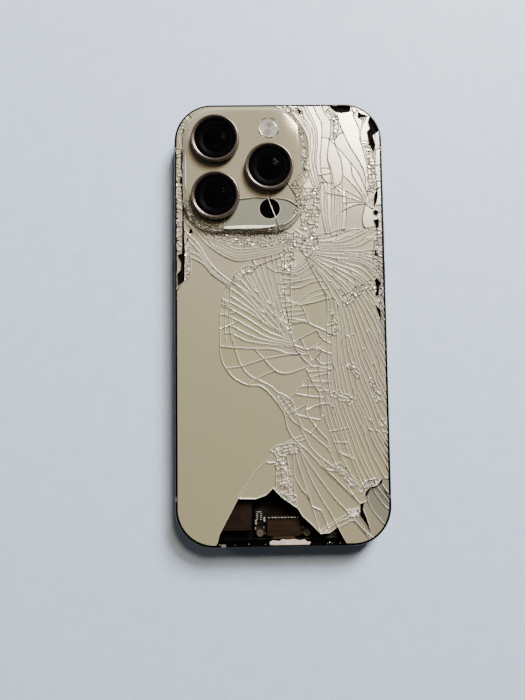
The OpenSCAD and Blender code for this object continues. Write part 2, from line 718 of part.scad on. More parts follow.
module action_button() {
  color("#48474a") button(1, action_y, action_len);
}

module volume_up_button() {
  color("#48474a") button(1, volume_up_y, volume_len);
}

module volume_down_button() {
  color("#48474a") button(1, volume_down_y, volume_len);
}

module button_switches() {
  color("#c9c7c2") for (b = BUTTONS) mirror([b[0] > 0 ? 0 : 1, 0, 0]) {
    x1 = body_w / 2 - switch_u;
    block(x1 - 0.9, x1 - 0.15, b[1] - 2, b[1] + 2, floor_z, mid_z + 1.3);
    translate([x1 - 0.15 - eps, b[1], mid_z]) rotate([0, 90, 0]) cylinder(h = 0.15 + eps, r = 0.9);
  }
}

tray_face_h = 1.9;
tray_face_t = 1.3;
card_x = 12.3;
card_y = 8.8;
card_clear = 0.1;
tray_x1 = body_w / 2 - 0.03;
tray_y_half = tray_len / 2 - 0.5;
card_x1 = body_w / 2 - band_wall - 3;

module sim_tray() {
  color("#48474a") difference() {
    union() {
      pill(tray_x1 - tray_face_t, tray_x1, tray_y, mid_z, tray_len, tray_face_h);
      block(tray_x1 - tray_depth, tray_x1 - tray_face_t + eps, tray_y - tray_y_half, tray_y + tray_y_half,
        mid_z - tray_t / 2, mid_z + tray_t / 2);
    }
    block(card_x1 - card_x - card_clear, card_x1 + card_clear, tray_y - card_y / 2 - card_clear,
      tray_y + card_y / 2 + card_clear, mid_z - tray_t / 2 + 0.2, mid_z + tray_t);
  }
}

module sim_card() {
  z0 = mid_z - tray_t / 2 + 0.2;
  notch = 1.6;
  x0 = card_x1 - card_x;
  y0 = tray_y - card_y / 2;
  color("#dcdad2") slab_of([[x0, y0], [card_x1, y0], [card_x1, y0 + card_y], [x0 + notch, y0 + card_y],
    [x0, y0 + card_y - notch]], z0, z0 + 0.67);
}

module sim_reader() {
  clear = 0.15;
  x0 = tray_x1 - tray_depth - 1;
  x1 = inner_x - 0.4;
  y_half = tray_y_half + clear;
  color("#9fa1a4") difference() {
    block(x0, x1, tray_y - y_half - 0.4, tray_y + y_half + 0.4, floor_z, mid_z + tray_t / 2 + 0.65);
    block(x0 + 0.4, x1 + 1, tray_y - y_half, tray_y + y_half, mid_z - tray_t / 2 - clear,
      mid_z + tray_t / 2 + 0.35);
  }
}

// Cameras
module camera_module(at) {
  body_top = plateau_z - plateau_skin - 0.5;
  turn = [[0, body_top - 2], [barrel_r, body_top - 2], [barrel_r, cover_z - 0.2], [barrel_r - 0.5, cover_z - 0.2],
    [barrel_r - 0.7, cover_z - 0.6], [4.2, cover_z - 0.9], [4.2, cover_z - 1.5], [0, cover_z - 1.5]];
  color("#1d1e22") union() {
    translate([at[0], at[1], floor_z]) linear_extrude(body_top - floor_z)
      round_rect(module_side, module_side, 1);
    translate([at[0], at[1], 0]) rotate_extrude($fn = 96) polygon(turn);
  }
}

module camera_module_upper() {
  camera_module(upper_lens);
}

module camera_module_lower() {
  camera_module(lower_lens);
}

module camera_module_right() {
  camera_module(right_lens);
}

module camera_lenses() {
  z0 = cover_z - 1.5;
  rim = 4.1;
  dome = [for (k = [0:8]) let (a = 90 * k / 8) [rim * cos(a), z0 + 0.3 + 0.8 * sin(a)]];
  color("#2a2f45") for (at = [upper_lens, lower_lens, right_lens])
    translate([at[0], at[1], 0]) rotate_extrude($fn = 96) polygon(concat([[0, z0], [rim, z0]], dome));
}

module camera_bracket() {
  gap = 0.25;
  hole = module_side / 2 + gap;
  color("#8b8d90") difference() {
    translate([plateau_c[0], plateau_c[1], bracket_z]) linear_extrude(bracket_t)
      round_rect(plateau_w - 2.6, plateau_l - 4.2, plateau_r - 2);
    for (at = [upper_lens, lower_lens, right_lens])
      block(at[0] - hole, at[0] + hole, at[1] - hole, at[1] + hole, bracket_z - 1, bracket_z + 2);
    for (p = BRACKET_POSTS) peg(p, screw_shaft_r + 0.1, bracket_z - 1, bracket_z + 1);
  }
}

window_z = plateau_z - plateau_skin;

module flash_led() {
  color("#d9c25a") union() {
    block(flash_at[0] - 2.4, flash_at[0] + 2.4, flash_at[1] - 2.2, flash_at[1] + 2.2,
      bracket_z + bracket_t, window_z - 0.4);
    block(flash_at[0] - 1.2, flash_at[0] + 1.2, flash_at[1] - 1.2, flash_at[1] + 1.2,
      window_z - 0.4 - eps, window_z);
  }
}

module range_sensor() {
  color("#26272b") block(range_at[0] - 2.3, range_at[0] + 2.3, range_at[1] - 2.3, range_at[1] + 2.3,
    bracket_z + bracket_t, window_z);
}

module lens_ring(at) {
  mouth = ring_r - ring_wall;
  edge = 0.22;
  turn = [[mouth, ring_z - edge], [mouth + edge, ring_z], [ring_r - 0.3, ring_z], [ring_r - 0.06, ring_z - 0.25],
    [ring_r, plateau_z], [sleeve_r, plateau_z], [sleeve_r, window_z - 0.3], [seat_r, window_z - 0.3],
    [seat_r, cover_z], [mouth, cover_z]];
  color("#5c534c") translate([at[0], at[1], 0]) rotate_extrude($fn = 128) polygon(turn);
}

module lens_ring_upper() {
  lens_ring(upper_lens);
}

module lens_ring_lower() {
  lens_ring(lower_lens);
}

module lens_ring_right() {
  lens_ring(right_lens);
}

module lens_cover(at) {
  color("#0a0b0d") peg(at, ring_r - ring_wall - 0.05, cover_z, cover_z + cover_t, $fn = 128);
}

module lens_cover_upper() {
  lens_cover(upper_lens);
}

module lens_cover_lower() {
  lens_cover(lower_lens);
}

module lens_cover_right() {
  lens_cover(right_lens);
}

module flash_lens() {
  color("#e8e4d6") peg(flash_at, window_r, window_z, plateau_z + 0.05, $fn = 96);
}

module range_sensor_window() {
  color("#0b0b0c") difference() {
    peg(range_at, window_r, window_z, plateau_z + 0.05, $fn = 96);
    plateau_crack(PLATEAU_CRACKS[0]);
  }
}

// Charging coil, its magnets and its shield
module at_coil(z) {
  translate([coil_at[0], coil_at[1], z]) children();
}

shield_t = 0.15;
module coil_shield() {
  color("#2b2b2d") at_coil(coil_z - shield_t) cylinder(h = shield_t, r = coil_out + 0.7);
}

module charging_coil() {
  turns = 7;
  pitch = (coil_out - coil_in) / turns;
  color("#b06a35") at_coil(coil_z) difference() {
    rotate_extrude($fn = 96) translate([coil_in, 0]) square([coil_out - coil_in, coil_t]);
    for (k = [1:turns - 1]) translate([0, 0, -eps]) rotate_extrude($fn = 96)
      translate([coil_in + k * pitch - 0.05, 0]) square([0.1, 0.2]);
  }
}

module magnet_ring() {
  count = 18;
  step = 360 / count;
  color("#9a9ca0") at_coil(coil_z) for (k = [0:count - 1]) rotate(step * k)
    rotate_extrude(angle = step - 2.5, $fn = 96) translate([magnet_out - 3.6, 0]) square([3.6, coil_t]);
}

// Rear glass, the film that holds it and the adhesive left behind
module plateau_flat(inset) {
  translate(plateau_c) round_rect(plateau_w - 2 * inset, plateau_l - 2 * inset, plateau_r - inset);
}

module backing_film() {
  torn = [[-24.4, -76], [-23, -71], [-17, -60], [-9, -57.2], [-3.4, -53.6], [2, -58.2], [7, -62.6],
    [13.4, -68.8], [18.4, -66.2], [22.8, -76]];
  color("#141413") translate([0, 0, film_z]) linear_extrude(film_t) difference() {
    outline(glass_u + 0.05);
    plateau_flat(plateau_wall);
    polygon(on_back(torn));
  }
}

module torn_adhesive_strip() {
  lower = [[-4.6, -73.9], [-3.2, -74], [8.4, -74]];
  ragged = [[8.8, -73.3], [7.6, -73.1], [6.8, -72.4], [5.2, -72.7], [3.4, -72.3], [1.2, -72.5],
    [-0.6, -72.3], [-1.6, -72.9], [-3.6, -72.6], [-4.7, -73.1]];
  down = -body_l / 2 + 74.8;
  color("#c8a898") slab_of([for (p = concat(lower, ragged)) p + [0, down]], film_z, film_z + 0.18);
}

module plateau_blank() {
  slope = [for (k = [0:8]) let (a = 90 * k / 8)
    [plateau_slope * (1 - cos(a)), body_t + plateau_h * sin(a)]];
  edge = concat(slope, [[plateau_slope + 1, plateau_z], [plateau_slope + 1, glass_z], [0, glass_z]]);
  translate([plateau_c[0], plateau_c[1], 0])
    sweep_round(plateau_w, plateau_l, plateau_r, edge);
  translate([0, 0, glass_z]) linear_extrude(plateau_z - glass_z) plateau_flat(plateau_slope + 1);
}

module crack(points) {
  slab_of(ribbon(stretch(soft_line(points), crack_over), crack_w), glass_z - 1, plateau_z + 1);
}

module plateau_crack(points) {
  crack([for (p = points) p + plateau_c]);
}

module rear_glass() {
  color("#a8a48c") difference() {
    union() {
      layer(glass_u, glass_z, body_t);
      plateau_blank();
    }
    translate([0, 0, glass_z - 1]) linear_extrude(pocket_z - glass_z + 1) plateau_flat(plateau_wall);
    for (at = [upper_lens, lower_lens, right_lens]) peg(at, sleeve_r + 0.1, glass_z, ring_z, $fn = 128);
    for (at = [flash_at, range_at]) peg(at, window_r + 0.08, glass_z, ring_z, $fn = 96);
    for (m = MISSING) slab_of(on_back(m), glass_z - 1, body_t + 1);
    for (c = CRACKS) crack(on_back(c));
    for (c = PLATEAU_CRACKS) plateau_crack(c);
  }
}

front_glass();
display_panel();
display_bezel();
display_heat_sheet();
display_flex();
outer_band();
antenna_breaks();
chassis_plate();
bottom_screws();
inner_screws();
battery();
battery_flex();
logic_board();
board_shields();
earpiece();
front_camera();
haptic_motor();
loudspeaker();
port_shell();
port_tongue();
port_bracket();
port_flex();
power_button();
volume_up_button();
volume_down_button();
action_button();
button_switches();
sim_tray();
sim_card();
sim_reader();
camera_module_upper();
camera_module_lower();
camera_module_right();
camera_lenses();
camera_bracket();
flash_led();
range_sensor();
coil_shield();
charging_coil();
magnet_ring();
backing_film();
torn_adhesive_strip();
rear_glass();
lens_ring_upper();
lens_ring_lower();
lens_ring_right();
lens_cover_upper();
lens_cover_lower();
lens_cover_right();
flash_lens();
range_sensor_window();
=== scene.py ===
import math
import random

import bpy
import numpy as np
from mathutils import Matrix, Vector
from mathutils.geometry import delaunay_2d_cdt


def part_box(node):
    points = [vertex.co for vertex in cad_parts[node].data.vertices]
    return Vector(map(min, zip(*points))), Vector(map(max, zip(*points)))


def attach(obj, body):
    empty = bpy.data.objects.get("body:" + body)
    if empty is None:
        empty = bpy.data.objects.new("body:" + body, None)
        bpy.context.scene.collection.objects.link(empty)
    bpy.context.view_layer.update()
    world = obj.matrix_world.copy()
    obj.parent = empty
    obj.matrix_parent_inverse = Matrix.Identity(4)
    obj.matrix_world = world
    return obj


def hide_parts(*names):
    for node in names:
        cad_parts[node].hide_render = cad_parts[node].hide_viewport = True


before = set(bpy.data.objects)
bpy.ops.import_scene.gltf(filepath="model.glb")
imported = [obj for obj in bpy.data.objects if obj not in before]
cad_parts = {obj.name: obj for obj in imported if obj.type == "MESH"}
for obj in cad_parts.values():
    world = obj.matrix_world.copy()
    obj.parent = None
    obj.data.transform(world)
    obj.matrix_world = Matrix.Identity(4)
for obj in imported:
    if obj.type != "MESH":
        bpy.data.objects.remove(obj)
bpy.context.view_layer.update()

# Front glass and display. The phone lies on its front glass, which is whole: a flat sheet
# with polished edges, bonded over the display panel inside a thin black plastic bezel.
MM = 0.001


def fix_at(material, socket, value):
    """Sets one of the shader's inputs to a plain value."""
    material.node_tree.nodes["Principled BSDF"].inputs[socket].default_value = value


def new_finish(name, colour, rough, metal=0.0, coat=0.0):
    """A material with a Principled shader, ready for its patterns."""
    material = bpy.data.materials.new(name)
    material.use_nodes = True
    fix_at(material, "Base Color", (*colour, 1))
    fix_at(material, "Roughness", rough)
    fix_at(material, "Metallic", metal)
    fix_at(material, "Coat Weight", coat)
    fix_at(material, "Coat Roughness", 0.05)
    return material


def add(material, kind, inputs=None, **settings):
    """One more node in a material, with its settings, its values and its links."""
    node = material.node_tree.nodes.new("ShaderNode" + kind)
    for key, value in settings.items():
        setattr(node, key, value)
    for key, value in (inputs or {}).items():
        if isinstance(value, bpy.types.NodeSocket):
            material.node_tree.links.new(value, node.inputs[key])
        else:
            node.inputs[key].default_value = value
    return node


def drive(material, socket, value):
    """Feeds one of the shader's inputs from another node."""
    shader = material.node_tree.nodes["Principled BSDF"]
    material.node_tree.links.new(value, shader.inputs[socket])


def place(material):
    """Where a point lies on its piece, in metres."""
    return add(material, "TexCoord").outputs["Object"]


def speckle(material, size, detail=4, rough=0.55, stretch=(1, 1, 1)):
    """Cloudy noise whose clouds are about size metres across."""
    spread = add(material, "Mapping", {"Vector": place(material), "Scale": stretch})
    noise = add(material, "TexNoise", {"Vector": spread.outputs[0], "Scale": 1 / size,
                                       "Detail": detail, "Roughness": rough})
    return noise.outputs[0]


def stretch_range(material, value, low, high, to_low=0.0, to_high=1.0):
    """A value from one range carried over to another, and held at its ends."""
    return add(material, "MapRange", {"Value": value, "From Min": low, "From Max": high,
                                      "To Min": to_low, "To Max": to_high}).outputs[0]


def blend(material, share, one, other):
    """Mixes two colours, each a plain colour or another node's output."""
    mix = add(material, "Mix", {0: share}, data_type="RGBA")
    # a Mix node takes two colours at inputs 6 and 7, and gives the mixed one at output 2
    for key, colour in ((6, one), (7, other)):
        if isinstance(colour, bpy.types.NodeSocket):
            material.node_tree.links.new(colour, mix.inputs[key])
        else:
            mix.inputs[key].default_value = (*colour, 1)
    return mix.outputs[2]


def bump(material, height, depth):
    """Fine relief, depth metres deep."""
    node = add(material, "Bump", {"Height": height, "Distance": depth, "Strength": 1.0})
    drive(material, "Normal", node.outputs[0])


def two_tone(name, colour, other, size, rough, metal=0.0, coat=0.0, grain=0.0, grain_size=0.0003,
             stretch=(1, 1, 1)):
    """A finish that drifts between two colours, with a fine grain and uneven gloss."""
    material = new_finish(name, colour, rough, metal, coat)
    clouds = stretch_range(material, speckle(material, size, stretch=stretch), 0.35, 0.65)
    drive(material, "Base Color", blend(material, clouds, colour, other))
    fine = speckle(material, grain_size, 2, stretch=stretch)
    drive(material, "Roughness", stretch_range(material, fine, 0.3, 0.7, rough * 0.85, rough * 1.2))
    if grain:
        bump(material, fine, grain)
    return material


def dress(material, *nodes):
    """Gives CAD nodes their finish."""
    for name in nodes:
        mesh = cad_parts[name].data
        mesh.materials.clear()
        mesh.materials.append(material)


front_glass = two_tone("front_glass", (0.012, 0.013, 0.015), (0.02, 0.02, 0.022), 0.02, 0.06, coat=1.0)
dress(front_glass, "front_glass")
dress(two_tone("display", (0.02, 0.02, 0.024), (0.03, 0.03, 0.04), 0.01, 0.3), "display_panel")
dress(two_tone("bezel", (0.02, 0.02, 0.02), (0.03, 0.03, 0.03), 0.004, 0.5, grain=0.00001), "display_bezel")
dress(two_tone("graphite_sheet", (0.05, 0.05, 0.052), (0.08, 0.08, 0.085), 0.003, 0.45, 0.6),
      "display_heat_sheet", "coil_shield")
dress(two_tone("flex_circuit", (0.16, 0.08, 0.02), (0.24, 0.12, 0.03), 0.002, 0.35, coat=0.5),
      "display_flex", "battery_flex")

# Outer band. It is one ring of milled metal with a dark satin coating, cut by six thin plastic
# antenna breaks, and two small screws with star-shaped sockets close its bottom edge. The top of
# its lip is painted near black, a painted shade, with a black line of glue where the film meets it.
lip_bottom = 0.0069
lip_top = 0.0076
glue_z = 0.00725
glue_half = 0.00006
band_coat = (0.03, 0.027, 0.024)
band_metal = new_finish("band", band_coat, 0.3, 0.8)
rub = stretch_range(band_metal, speckle(band_metal, 0.0016, 6, 0.7), 0.6, 0.78)
worn = blend(band_metal, rub, band_coat, (0.16, 0.15, 0.13))
heights = add(band_metal, "SeparateXYZ", {0: place(band_metal)}).outputs[2]
# painted shade: the lip's top, from lip_bottom up to lip_top, is blended to near black so it stays dark under
# the lamps
painted_lip_shade = stretch_range(band_metal, heights, lip_bottom, lip_top)
band_with_painted_lip_shade = blend(band_metal, painted_lip_shade, worn, (0.004, 0.0035, 0.003))
glue = add(band_metal, "Math", {0: heights, 1: glue_z, 2: glue_half}, operation="COMPARE").outputs[0]
drive(band_metal, "Base Color", blend(band_metal, glue, band_with_painted_lip_shade, (0.004, 0.004, 0.004)))
brushed = speckle(band_metal, 0.0002, 3, stretch=(0.1, 0.1, 1))
drive(band_metal, "Roughness", stretch_range(band_metal, brushed, 0.3, 0.7, 0.22, 0.4))
bump(band_metal, speckle(band_metal, 0.00012, 3, stretch=(1, 1, 0.08)), 0.000004)
dress(band_metal, "outer_band")
dress(two_tone("antenna_plastic", (0.1, 0.095, 0.09), (0.13, 0.125, 0.115), 0.001, 0.5, grain=0.000004),
      "antenna_breaks")
dress(two_tone("dark_screw", (0.06, 0.058, 0.055), (0.1, 0.095, 0.09), 0.0004, 0.3, 1.0), "bottom_screws")

# Chassis plate. It is a thin stamped metal floor behind the display that every inner part
# is screwed or glued to, by steel screws with star-shaped sockets.
dress(two_tone("chassis", (0.007, 0.007, 0.007), (0.02, 0.02, 0.019), 0.002, 0.5, 0.8, grain=0.00001),
      "chassis_plate")
dress(two_tone("inner_screw", (0.14, 0.13, 0.11), (0.26, 0.24, 0.2), 0.0005, 0.3, 0.6), "inner_screws")

# Battery, boards and what stands on them. The battery is a soft pack in a black wrap, and
# the green logic board carries its chips under soldered metal shield cans.
battery_wrap = two_tone("battery_wrap", (0.006, 0.006, 0.007), (0.014, 0.014, 0.015), 0.003, 0.42,
                        grain=0.00003, grain_size=0.001)
fix_at(battery_wrap, "Specular IOR Level", 0.2)
dress(battery_wrap, "battery")
dress(two_tone("circuit_board", (0.02, 0.11, 0.05), (0.03, 0.16, 0.07), 0.0012, 0.4, coat=0.4), "logic_board")
dress(two_tone("shield_can", (0.4, 0.4, 0.41), (0.5, 0.5, 0.5), 0.002, 0.35, 1.0), "board_shields",
      "sim_reader", "camera_bracket")
dress(two_tone("black_plastic", (0.02, 0.019, 0.018), (0.035, 0.033, 0.03), 0.001, 0.45, grain=0.000006),
      "earpiece", "port_tongue")
dress(two_tone("camera_body", (0.018, 0.018, 0.02), (0.035, 0.035, 0.04), 0.001, 0.4), "front_camera",
      "camera_module_upper", "camera_module_lower", "camera_module_right", "range_sensor")

# Haptic motor. A flat box with a brown plated lid, held down at two lugs, sits left of the
# charging port and shows through the hole in the glass.
haptic_lid = two_tone("haptic_case", (0.013, 0.007, 0.0045), (0.021, 0.012, 0.0075), 0.004, 0.45, 0.2,
                      grain=0.000006)
fix_at(haptic_lid, "Specular IOR Level", 0.25)
dress(haptic_lid, "haptic_motor")

# Loudspeaker and charging port. The port is a drawn metal shell under a bronze-coated
# bracket, and a black flexible circuit runs behind it to the left-hand plug.
dress(two_tone("speaker_case", (0.05, 0.043, 0.022), (0.07, 0.06, 0.032), 0.002, 0.5, grain=0.000006),
      "loudspeaker")
dress(two_tone("port_metal", (0.22, 0.14, 0.08), (0.3, 0.2, 0.12), 0.001, 0.35, 0.9), "port_shell")
bronze = two_tone("bracket_bronze", (0.03, 0.017, 0.009), (0.05, 0.029, 0.016), 0.0025, 0.4, 0.6,
                  grain=0.000008, stretch=(0.2, 1, 1))
dress(bronze, "port_bracket")
black_flex = two_tone("black_flex", (0.005, 0.0045, 0.004), (0.012, 0.011, 0.01), 0.0007, 0.45, grain=0.00001)
fix_at(black_flex, "Specular IOR Level", 0.2)
dress(black_flex, "port_flex")
fit_verts = []
fit_faces = []


def pad(x, y, z, w, l, h):
    """A small stamped contact with drawn-in upper edges."""
    first = len(fit_verts)
    inset = min(w, l) * 0.2
    for up, cut in ((0, 0), (h * 0.6, 0), (h, inset)):
        for sx, sy in ((-1, -1), (1, -1), (1, 1), (-1, 1)):
            fit_verts.append(((x + sx * (w / 2 - cut)) * MM, (y + sy * (l / 2 - cut)) * MM, (z + up) * MM))
    for level in (0, 4):
        for k in range(4):
            n = (k + 1) % 4
            fit_faces.append(tuple(first + level + v for v in (k, n, n + 4, k + 4)))
    fit_faces.append(tuple(first + v for v in (8, 9, 10, 11)))
    fit_faces.append(tuple(first + v for v in (3, 2, 1, 0)))


def spring(x, y, z, length, radius=0.32, wire=0.07, turns=5):
    """A small coil spring lying along Y."""
    first = len(fit_verts)
    per_turn = 10
    sides = 5
    steps = turns * per_turn
    for i in range(steps + 1):
        angle = 2 * math.pi * i / per_turn
        out = Vector((math.cos(angle), 0, math.sin(angle)))
        middle = Vector((x, y + length * i / steps, z + radius + wire)) + out * radius
        for k in range(sides):
            around = 2 * math.pi * k / sides
            point = middle + (out * math.cos(around) + Vector((0, 1, 0)) * math.sin(around)) * wire
            fit_verts.append(tuple(point * MM))
    for i in range(steps):
        for k in range(sides):
            n = (k + 1) % sides
            fit_faces.append(tuple(first + i * sides + v for v in (k, n, n + sides, k + sides)))
    fit_faces.append(tuple(first + k for k in reversed(range(sides))))
    fit_faces.append(tuple(first + steps * sides + k for k in range(sides)))


def new_piece(name, verts, faces, material):
    """A new mesh object with its finish."""
    mesh = bpy.data.meshes.new(name)
    mesh.from_pydata(verts, [], faces)
    mesh.materials.append(material)
    piece = bpy.data.objects.new(name, mesh)
    bpy.context.scene.collection.objects.link(piece)
    return piece


bracket_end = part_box("port_bracket")[1].y / MM
bracket_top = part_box("port_bracket")[1].z / MM
plug_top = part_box("port_flex")[1].z / MM
ledge_top = 4.6
contact_pitch = 1.06
for k in range(10):
    pad(-4.8 + k * contact_pitch, bracket_end - 0.17, bracket_top + 0.02, 0.8 if k % 3 else 0.5, 0.3, 0.34)
for k in range(4):
    for x in (-8.75, -7.45):
        pad(x, bracket_end + 0.9 - k * 0.62, plug_top, 0.5, 0.3, 0.14)
pad(-8.1, bracket_end + 1.55, plug_top, 1.5, 0.3, 0.22)
for x, y, w, l in ((-9.3, -69.4, 0.5, 0.9), (-6.5, -69.1, 0.4, 0.7), (6.5, -69.2, 0.4, 0.8),
                   (9.4, -69.6, 0.5, 0.9), (-6.1, -70.9, 0.3, 0.5), (6.2, -70.9, 0.3, 0.5)):
    pad(x, y, ledge_top, w, l, 0.25)
spring(-9.15, -67.9, plug_top - 0.6, 1.6)
spring(-6.35, -66.9, ledge_top + 0.8, 1.4)
fitting_metal = two_tone("fitting_metal", (0.2, 0.18, 0.15), (0.5, 0.47, 0.42), 0.0009, 0.25, 0.3)
port_fittings = new_piece("port_fittings", fit_verts, fit_faces, fitting_metal)
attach(port_fittings, "phone")

# Buttons and card tray. Each is milled from the same metal as the band, coated with it, and
# stands in its own slot; the switches and the card behind them are plastic.
dress(two_tone("button", (0.06, 0.058, 0.057), (0.09, 0.086, 0.082), 0.003, 0.28, 0.9, 0.4), "power_button",
      "volume_up_button", "volume_down_button", "action_button", "sim_tray")
dress(two_tone("switch_plastic", (0.55, 0.54, 0.5), (0.65, 0.64, 0.6), 0.001, 0.5), "button_switches")
dress(two_tone("card_plastic", (0.7, 0.68, 0.64), (0.76, 0.75, 0.7), 0.002, 0.45), "sim_card")

# Camera lenses and the flash's lamp. Each lens is a coated glass dome deep in its barrel,
# and the lamp is a yellow ceramic block under the flash window.
lens_glass = two_tone("lens_glass", (0.004, 0.005, 0.008), (0.008, 0.007, 0.012), 0.002, 0.06)
fix_at(lens_glass, "Specular IOR Level", 0.2)
dress(lens_glass, "camera_lenses")
dress(two_tone("led_ceramic", (0.75, 0.6, 0.16), (0.8, 0.68, 0.25), 0.001, 0.5), "flash_led")

# Wireless charging coil. Flat copper turns lie on a graphite shield inside a ring of
# separate magnets, all glued to the film under the rear glass.
dress(two_tone("copper", (0.55, 0.22, 0.08), (0.65, 0.3, 0.12), 0.002, 0.3, 1.0), "charging_coil")
dress(two_tone("magnet", (0.35, 0.35, 0.36), (0.45, 0.45, 0.46), 0.002, 0.35, 1.0), "magnet_ring")

# Backing film and torn adhesive. The black film that held the glass was ripped open with it,
# and a strip of the adhesive stayed behind along the bottom lip.
film = two_tone("black_film", (0.002, 0.002, 0.002), (0.005, 0.0047, 0.0044), 0.0015, 0.75, grain=0.00002,
                grain_size=0.0008)
fix_at(film, "Specular IOR Level", 0.03)
dress(film, "backing_film")
adhesive = two_tone("torn_adhesive", (0.56, 0.42, 0.34), (0.7, 0.58, 0.5), 0.0012, 0.7, grain=0.0001,
                    grain_size=0.0007)
dress(adhesive, "torn_adhesive_strip")

# Rear glass. One sheet of matte glass over a beige coat, moulded with its camera plateau. It
# is broken into long curved shards, crushed to crumbs between them, and some have fallen out.
dice = random.Random(11)
# sizes in millimetres, with heights from the table
flat_top = 8.25
glass_t = 0.72
glass_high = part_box("rear_glass")[1]
glass_half = Vector((glass_high.x / MM, glass_high.y / MM))
band_corner_r = 13
glass_inset = 0.85
corner_r = band_corner_r - glass_inset
plateau_h = 1.95
plateau_slope = 2.2
plateau_mid = Vector((-12, 51.3))
plateau_half = Vector((20.6, 21.7))
plateau_r = 11.5
lens_hole_r = 7.8
window_hole_r = 3.38
cracks = []
crushed = []


def middle_of(name):
    """The middle of a CAD piece seen from above, in millimetres."""
    low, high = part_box(name)
    return Vector(low[:2]).lerp(Vector(high[:2]), 0.5) / MM


lens_at = [middle_of("lens_ring_" + name) for name in ("upper", "lower", "right")]
window_at = [middle_of(name) for name in ("flash_lens", "range_sensor_window")]
cutouts = [(at, lens_hole_r) for at in lens_at] + [(at, window_hole_r) for at in window_at]


def length_of(line):
    """How long a line is from end to end."""
    return sum((b - a).length for a, b in zip(line, line[1:]))


def soft(points, step=0.8):
    """A smooth line through guide points, in millimetres."""
    p = [Vector(q) for q in points]
    p = [p[0]] + p + [p[-1]]
    line = []
    for a, b, c, d in zip(p, p[1:], p[2:], p[3:]):
        parts = max(1, round((c - b).length / step))
        for k in range(parts):
            t = k / parts
            line.append(0.5 * (2 * b + (c - a) * t + (2 * a - 5 * b + 4 * c - d) * t * t
                               + (3 * b - a - 3 * c + d) * t ** 3))
    return line + [p[-1]]


def even(line, count):
    """The same line with its points at equal distances."""
    runs = [0.0]
    for a, b in zip(line, line[1:]):
        runs.append(runs[-1] + (b - a).length)
    spaced = []
    k = 0
    for i in range(count):
        at = runs[-1] * i / (count - 1)
        while k < len(runs) - 2 and runs[k + 1] < at:
            k += 1
        share = (at - runs[k]) / max(runs[k + 1] - runs[k], 1e-9)
        spaced.append(line[k].lerp(line[k + 1], min(1, share)))
    return spaced


def crack(*points):
    """One crack along guide points, a little uneven."""
    cracks.append([p + Vector((dice.gauss(0, 0.04), dice.gauss(0, 0.04))) for p in soft(points)])


def split(a, b, gap):
    """New cracks between two neighbours wherever they lie more than gap apart."""
    share = 0.5 + dice.uniform(-0.09, 0.09)
    middle = [p.lerp(q, share + 0.02 * math.sin(0.3 * i + 9 * share))
              for i, (p, q) in enumerate(zip(a, b))]
    headings = [(m - k).normalized() for k, m in zip(middle[:1] + middle, middle[1:] + middle[-2:])]
    wide = [abs((q - p).cross(way)) > gap for p, q, way in zip(a, b, headings)] + [False]
    start = None
    for i, is_wide in enumerate(wide):
        if is_wide and start is None:
            start = i
        if not is_wide and start is not None:
            if i - start > 5:
                line = middle[start:i]
                if start > 2:
                    line = [(a if dice.random() < 0.5 else b)[start - 3]] + line
                if i < len(a) - 3:
                    line = line + [(a if dice.random() < 0.5 else b)[i + 2]]
                cracks.append(line)
                split(a[start:i], middle[start:i], gap)
                split(middle[start:i], b[start:i], gap)
            start = None


def fan(gap, *guides):
    """A family of cracks that run side by side from the first guide to the last."""
    longest = max(length_of(soft(guide)) for guide in guides)
    lines = [even(soft(guide), max(12, round(longest / 0.8))) for guide in guides]
    for line in lines:
        cracks.append(line)
    for a, b in zip(lines, lines[1:]):
        split(a, b, gap)


def rungs(spacing, a, b, chance=0.8):
    """Short cracks across the strip between two lines."""
    count = max(3, round(length_of(soft(a)) / spacing))
    for p, q in zip(even(soft(a), count), even(soft(b), count)):
        if dice.random() < chance:
            along = (q - p) * 0.12
            skew = Vector((dice.gauss(0, 0.15), dice.gauss(0, 0.3))) * spacing
            cracks.append([p - along, p.lerp(q, 0.5) + skew * 0.4, q + along + skew])


def rubble(size, width, *path):
    """A band of glass crushed to crumbs of about the same size."""
    line = soft(path)
    line = even(line, max(3, round(length_of(line) / size)))
    crushed.append((line, width))
    rows = max(2, round(width / size) + 1)
    grid = []
    for i, p in enumerate(line):
        heading = line[min(i + 1, len(line) - 1)] - line[max(i - 1, 0)]
        side = Vector((-heading.y, heading.x)).normalized()
        grid.append([p + side * ((j / (rows - 1) - 0.5) * width)
                     + Vector((dice.uniform(-1, 1), dice.uniform(-1, 1))) * size * 0.38 for j in range(rows)])
    for i, row in enumerate(grid):
        for j, p in enumerate(row):
            if j + 1 < rows and dice.random() < 0.9:
                cracks.append([p, row[j + 1]])
            if i + 1 < len(grid) and dice.random() < 0.9:
                cracks.append([p, grid[i + 1][j]])
            if i + 1 < len(grid) and j + 1 < rows and dice.random() < 0.18:
                cracks.append([p, grid[i + 1][j + 1]])


# two arcs round the smooth lower left, then down to the lower right corner
crack((-17.6, 12.4), (-19.4, 9), (-20.3, 2), (-20.6, -5), (-20, -13), (-16.5, -18.8), (-11.5, -21.7),
      (-7, -22.2), (-3, -26), (0.4, -31), (1.6, -36), (3.8, -39.8), (8, -43.5), (13, -49), (19, -55),
      (25.4, -61.2))
crack((-16.9, 9), (-17, 5), (-16.2, -3), (-15.6, -9), (-13.4, -15.3), (-10, -19), (-4.4, -21.8),
      (-0.5, -25.4), (3.6, -31), (5.8, -36), (7.2, -38.8), (9, -42.2), (13, -46.3), (17.4, -49.6),
      (20.6, -52))
crack((-1.9, -23.4), (-1, -27), (0.9, -30), (3.4, -33.6), (6.4, -36), (10, -38.6), (15, -43.2), (16.4, -46),
      (18, -49.8))
crack((-1.8, -24.3), (0.4, -25.1), (3.2, -27.2), (4, -29.8), (5, -32.6))
rungs(1.4, [(-1, -26), (1.4, -29.6), (3.4, -32.6)], [(0.6, -25), (3.4, -28), (5, -32)])
crack((-18.7, 6.4), (-18.6, 2), (-18.8, -3), (-18.6, -7))
crack((-17.4, 3.4), (-17.2, -2.6), (-16.6, -6), (-15.8, -8))
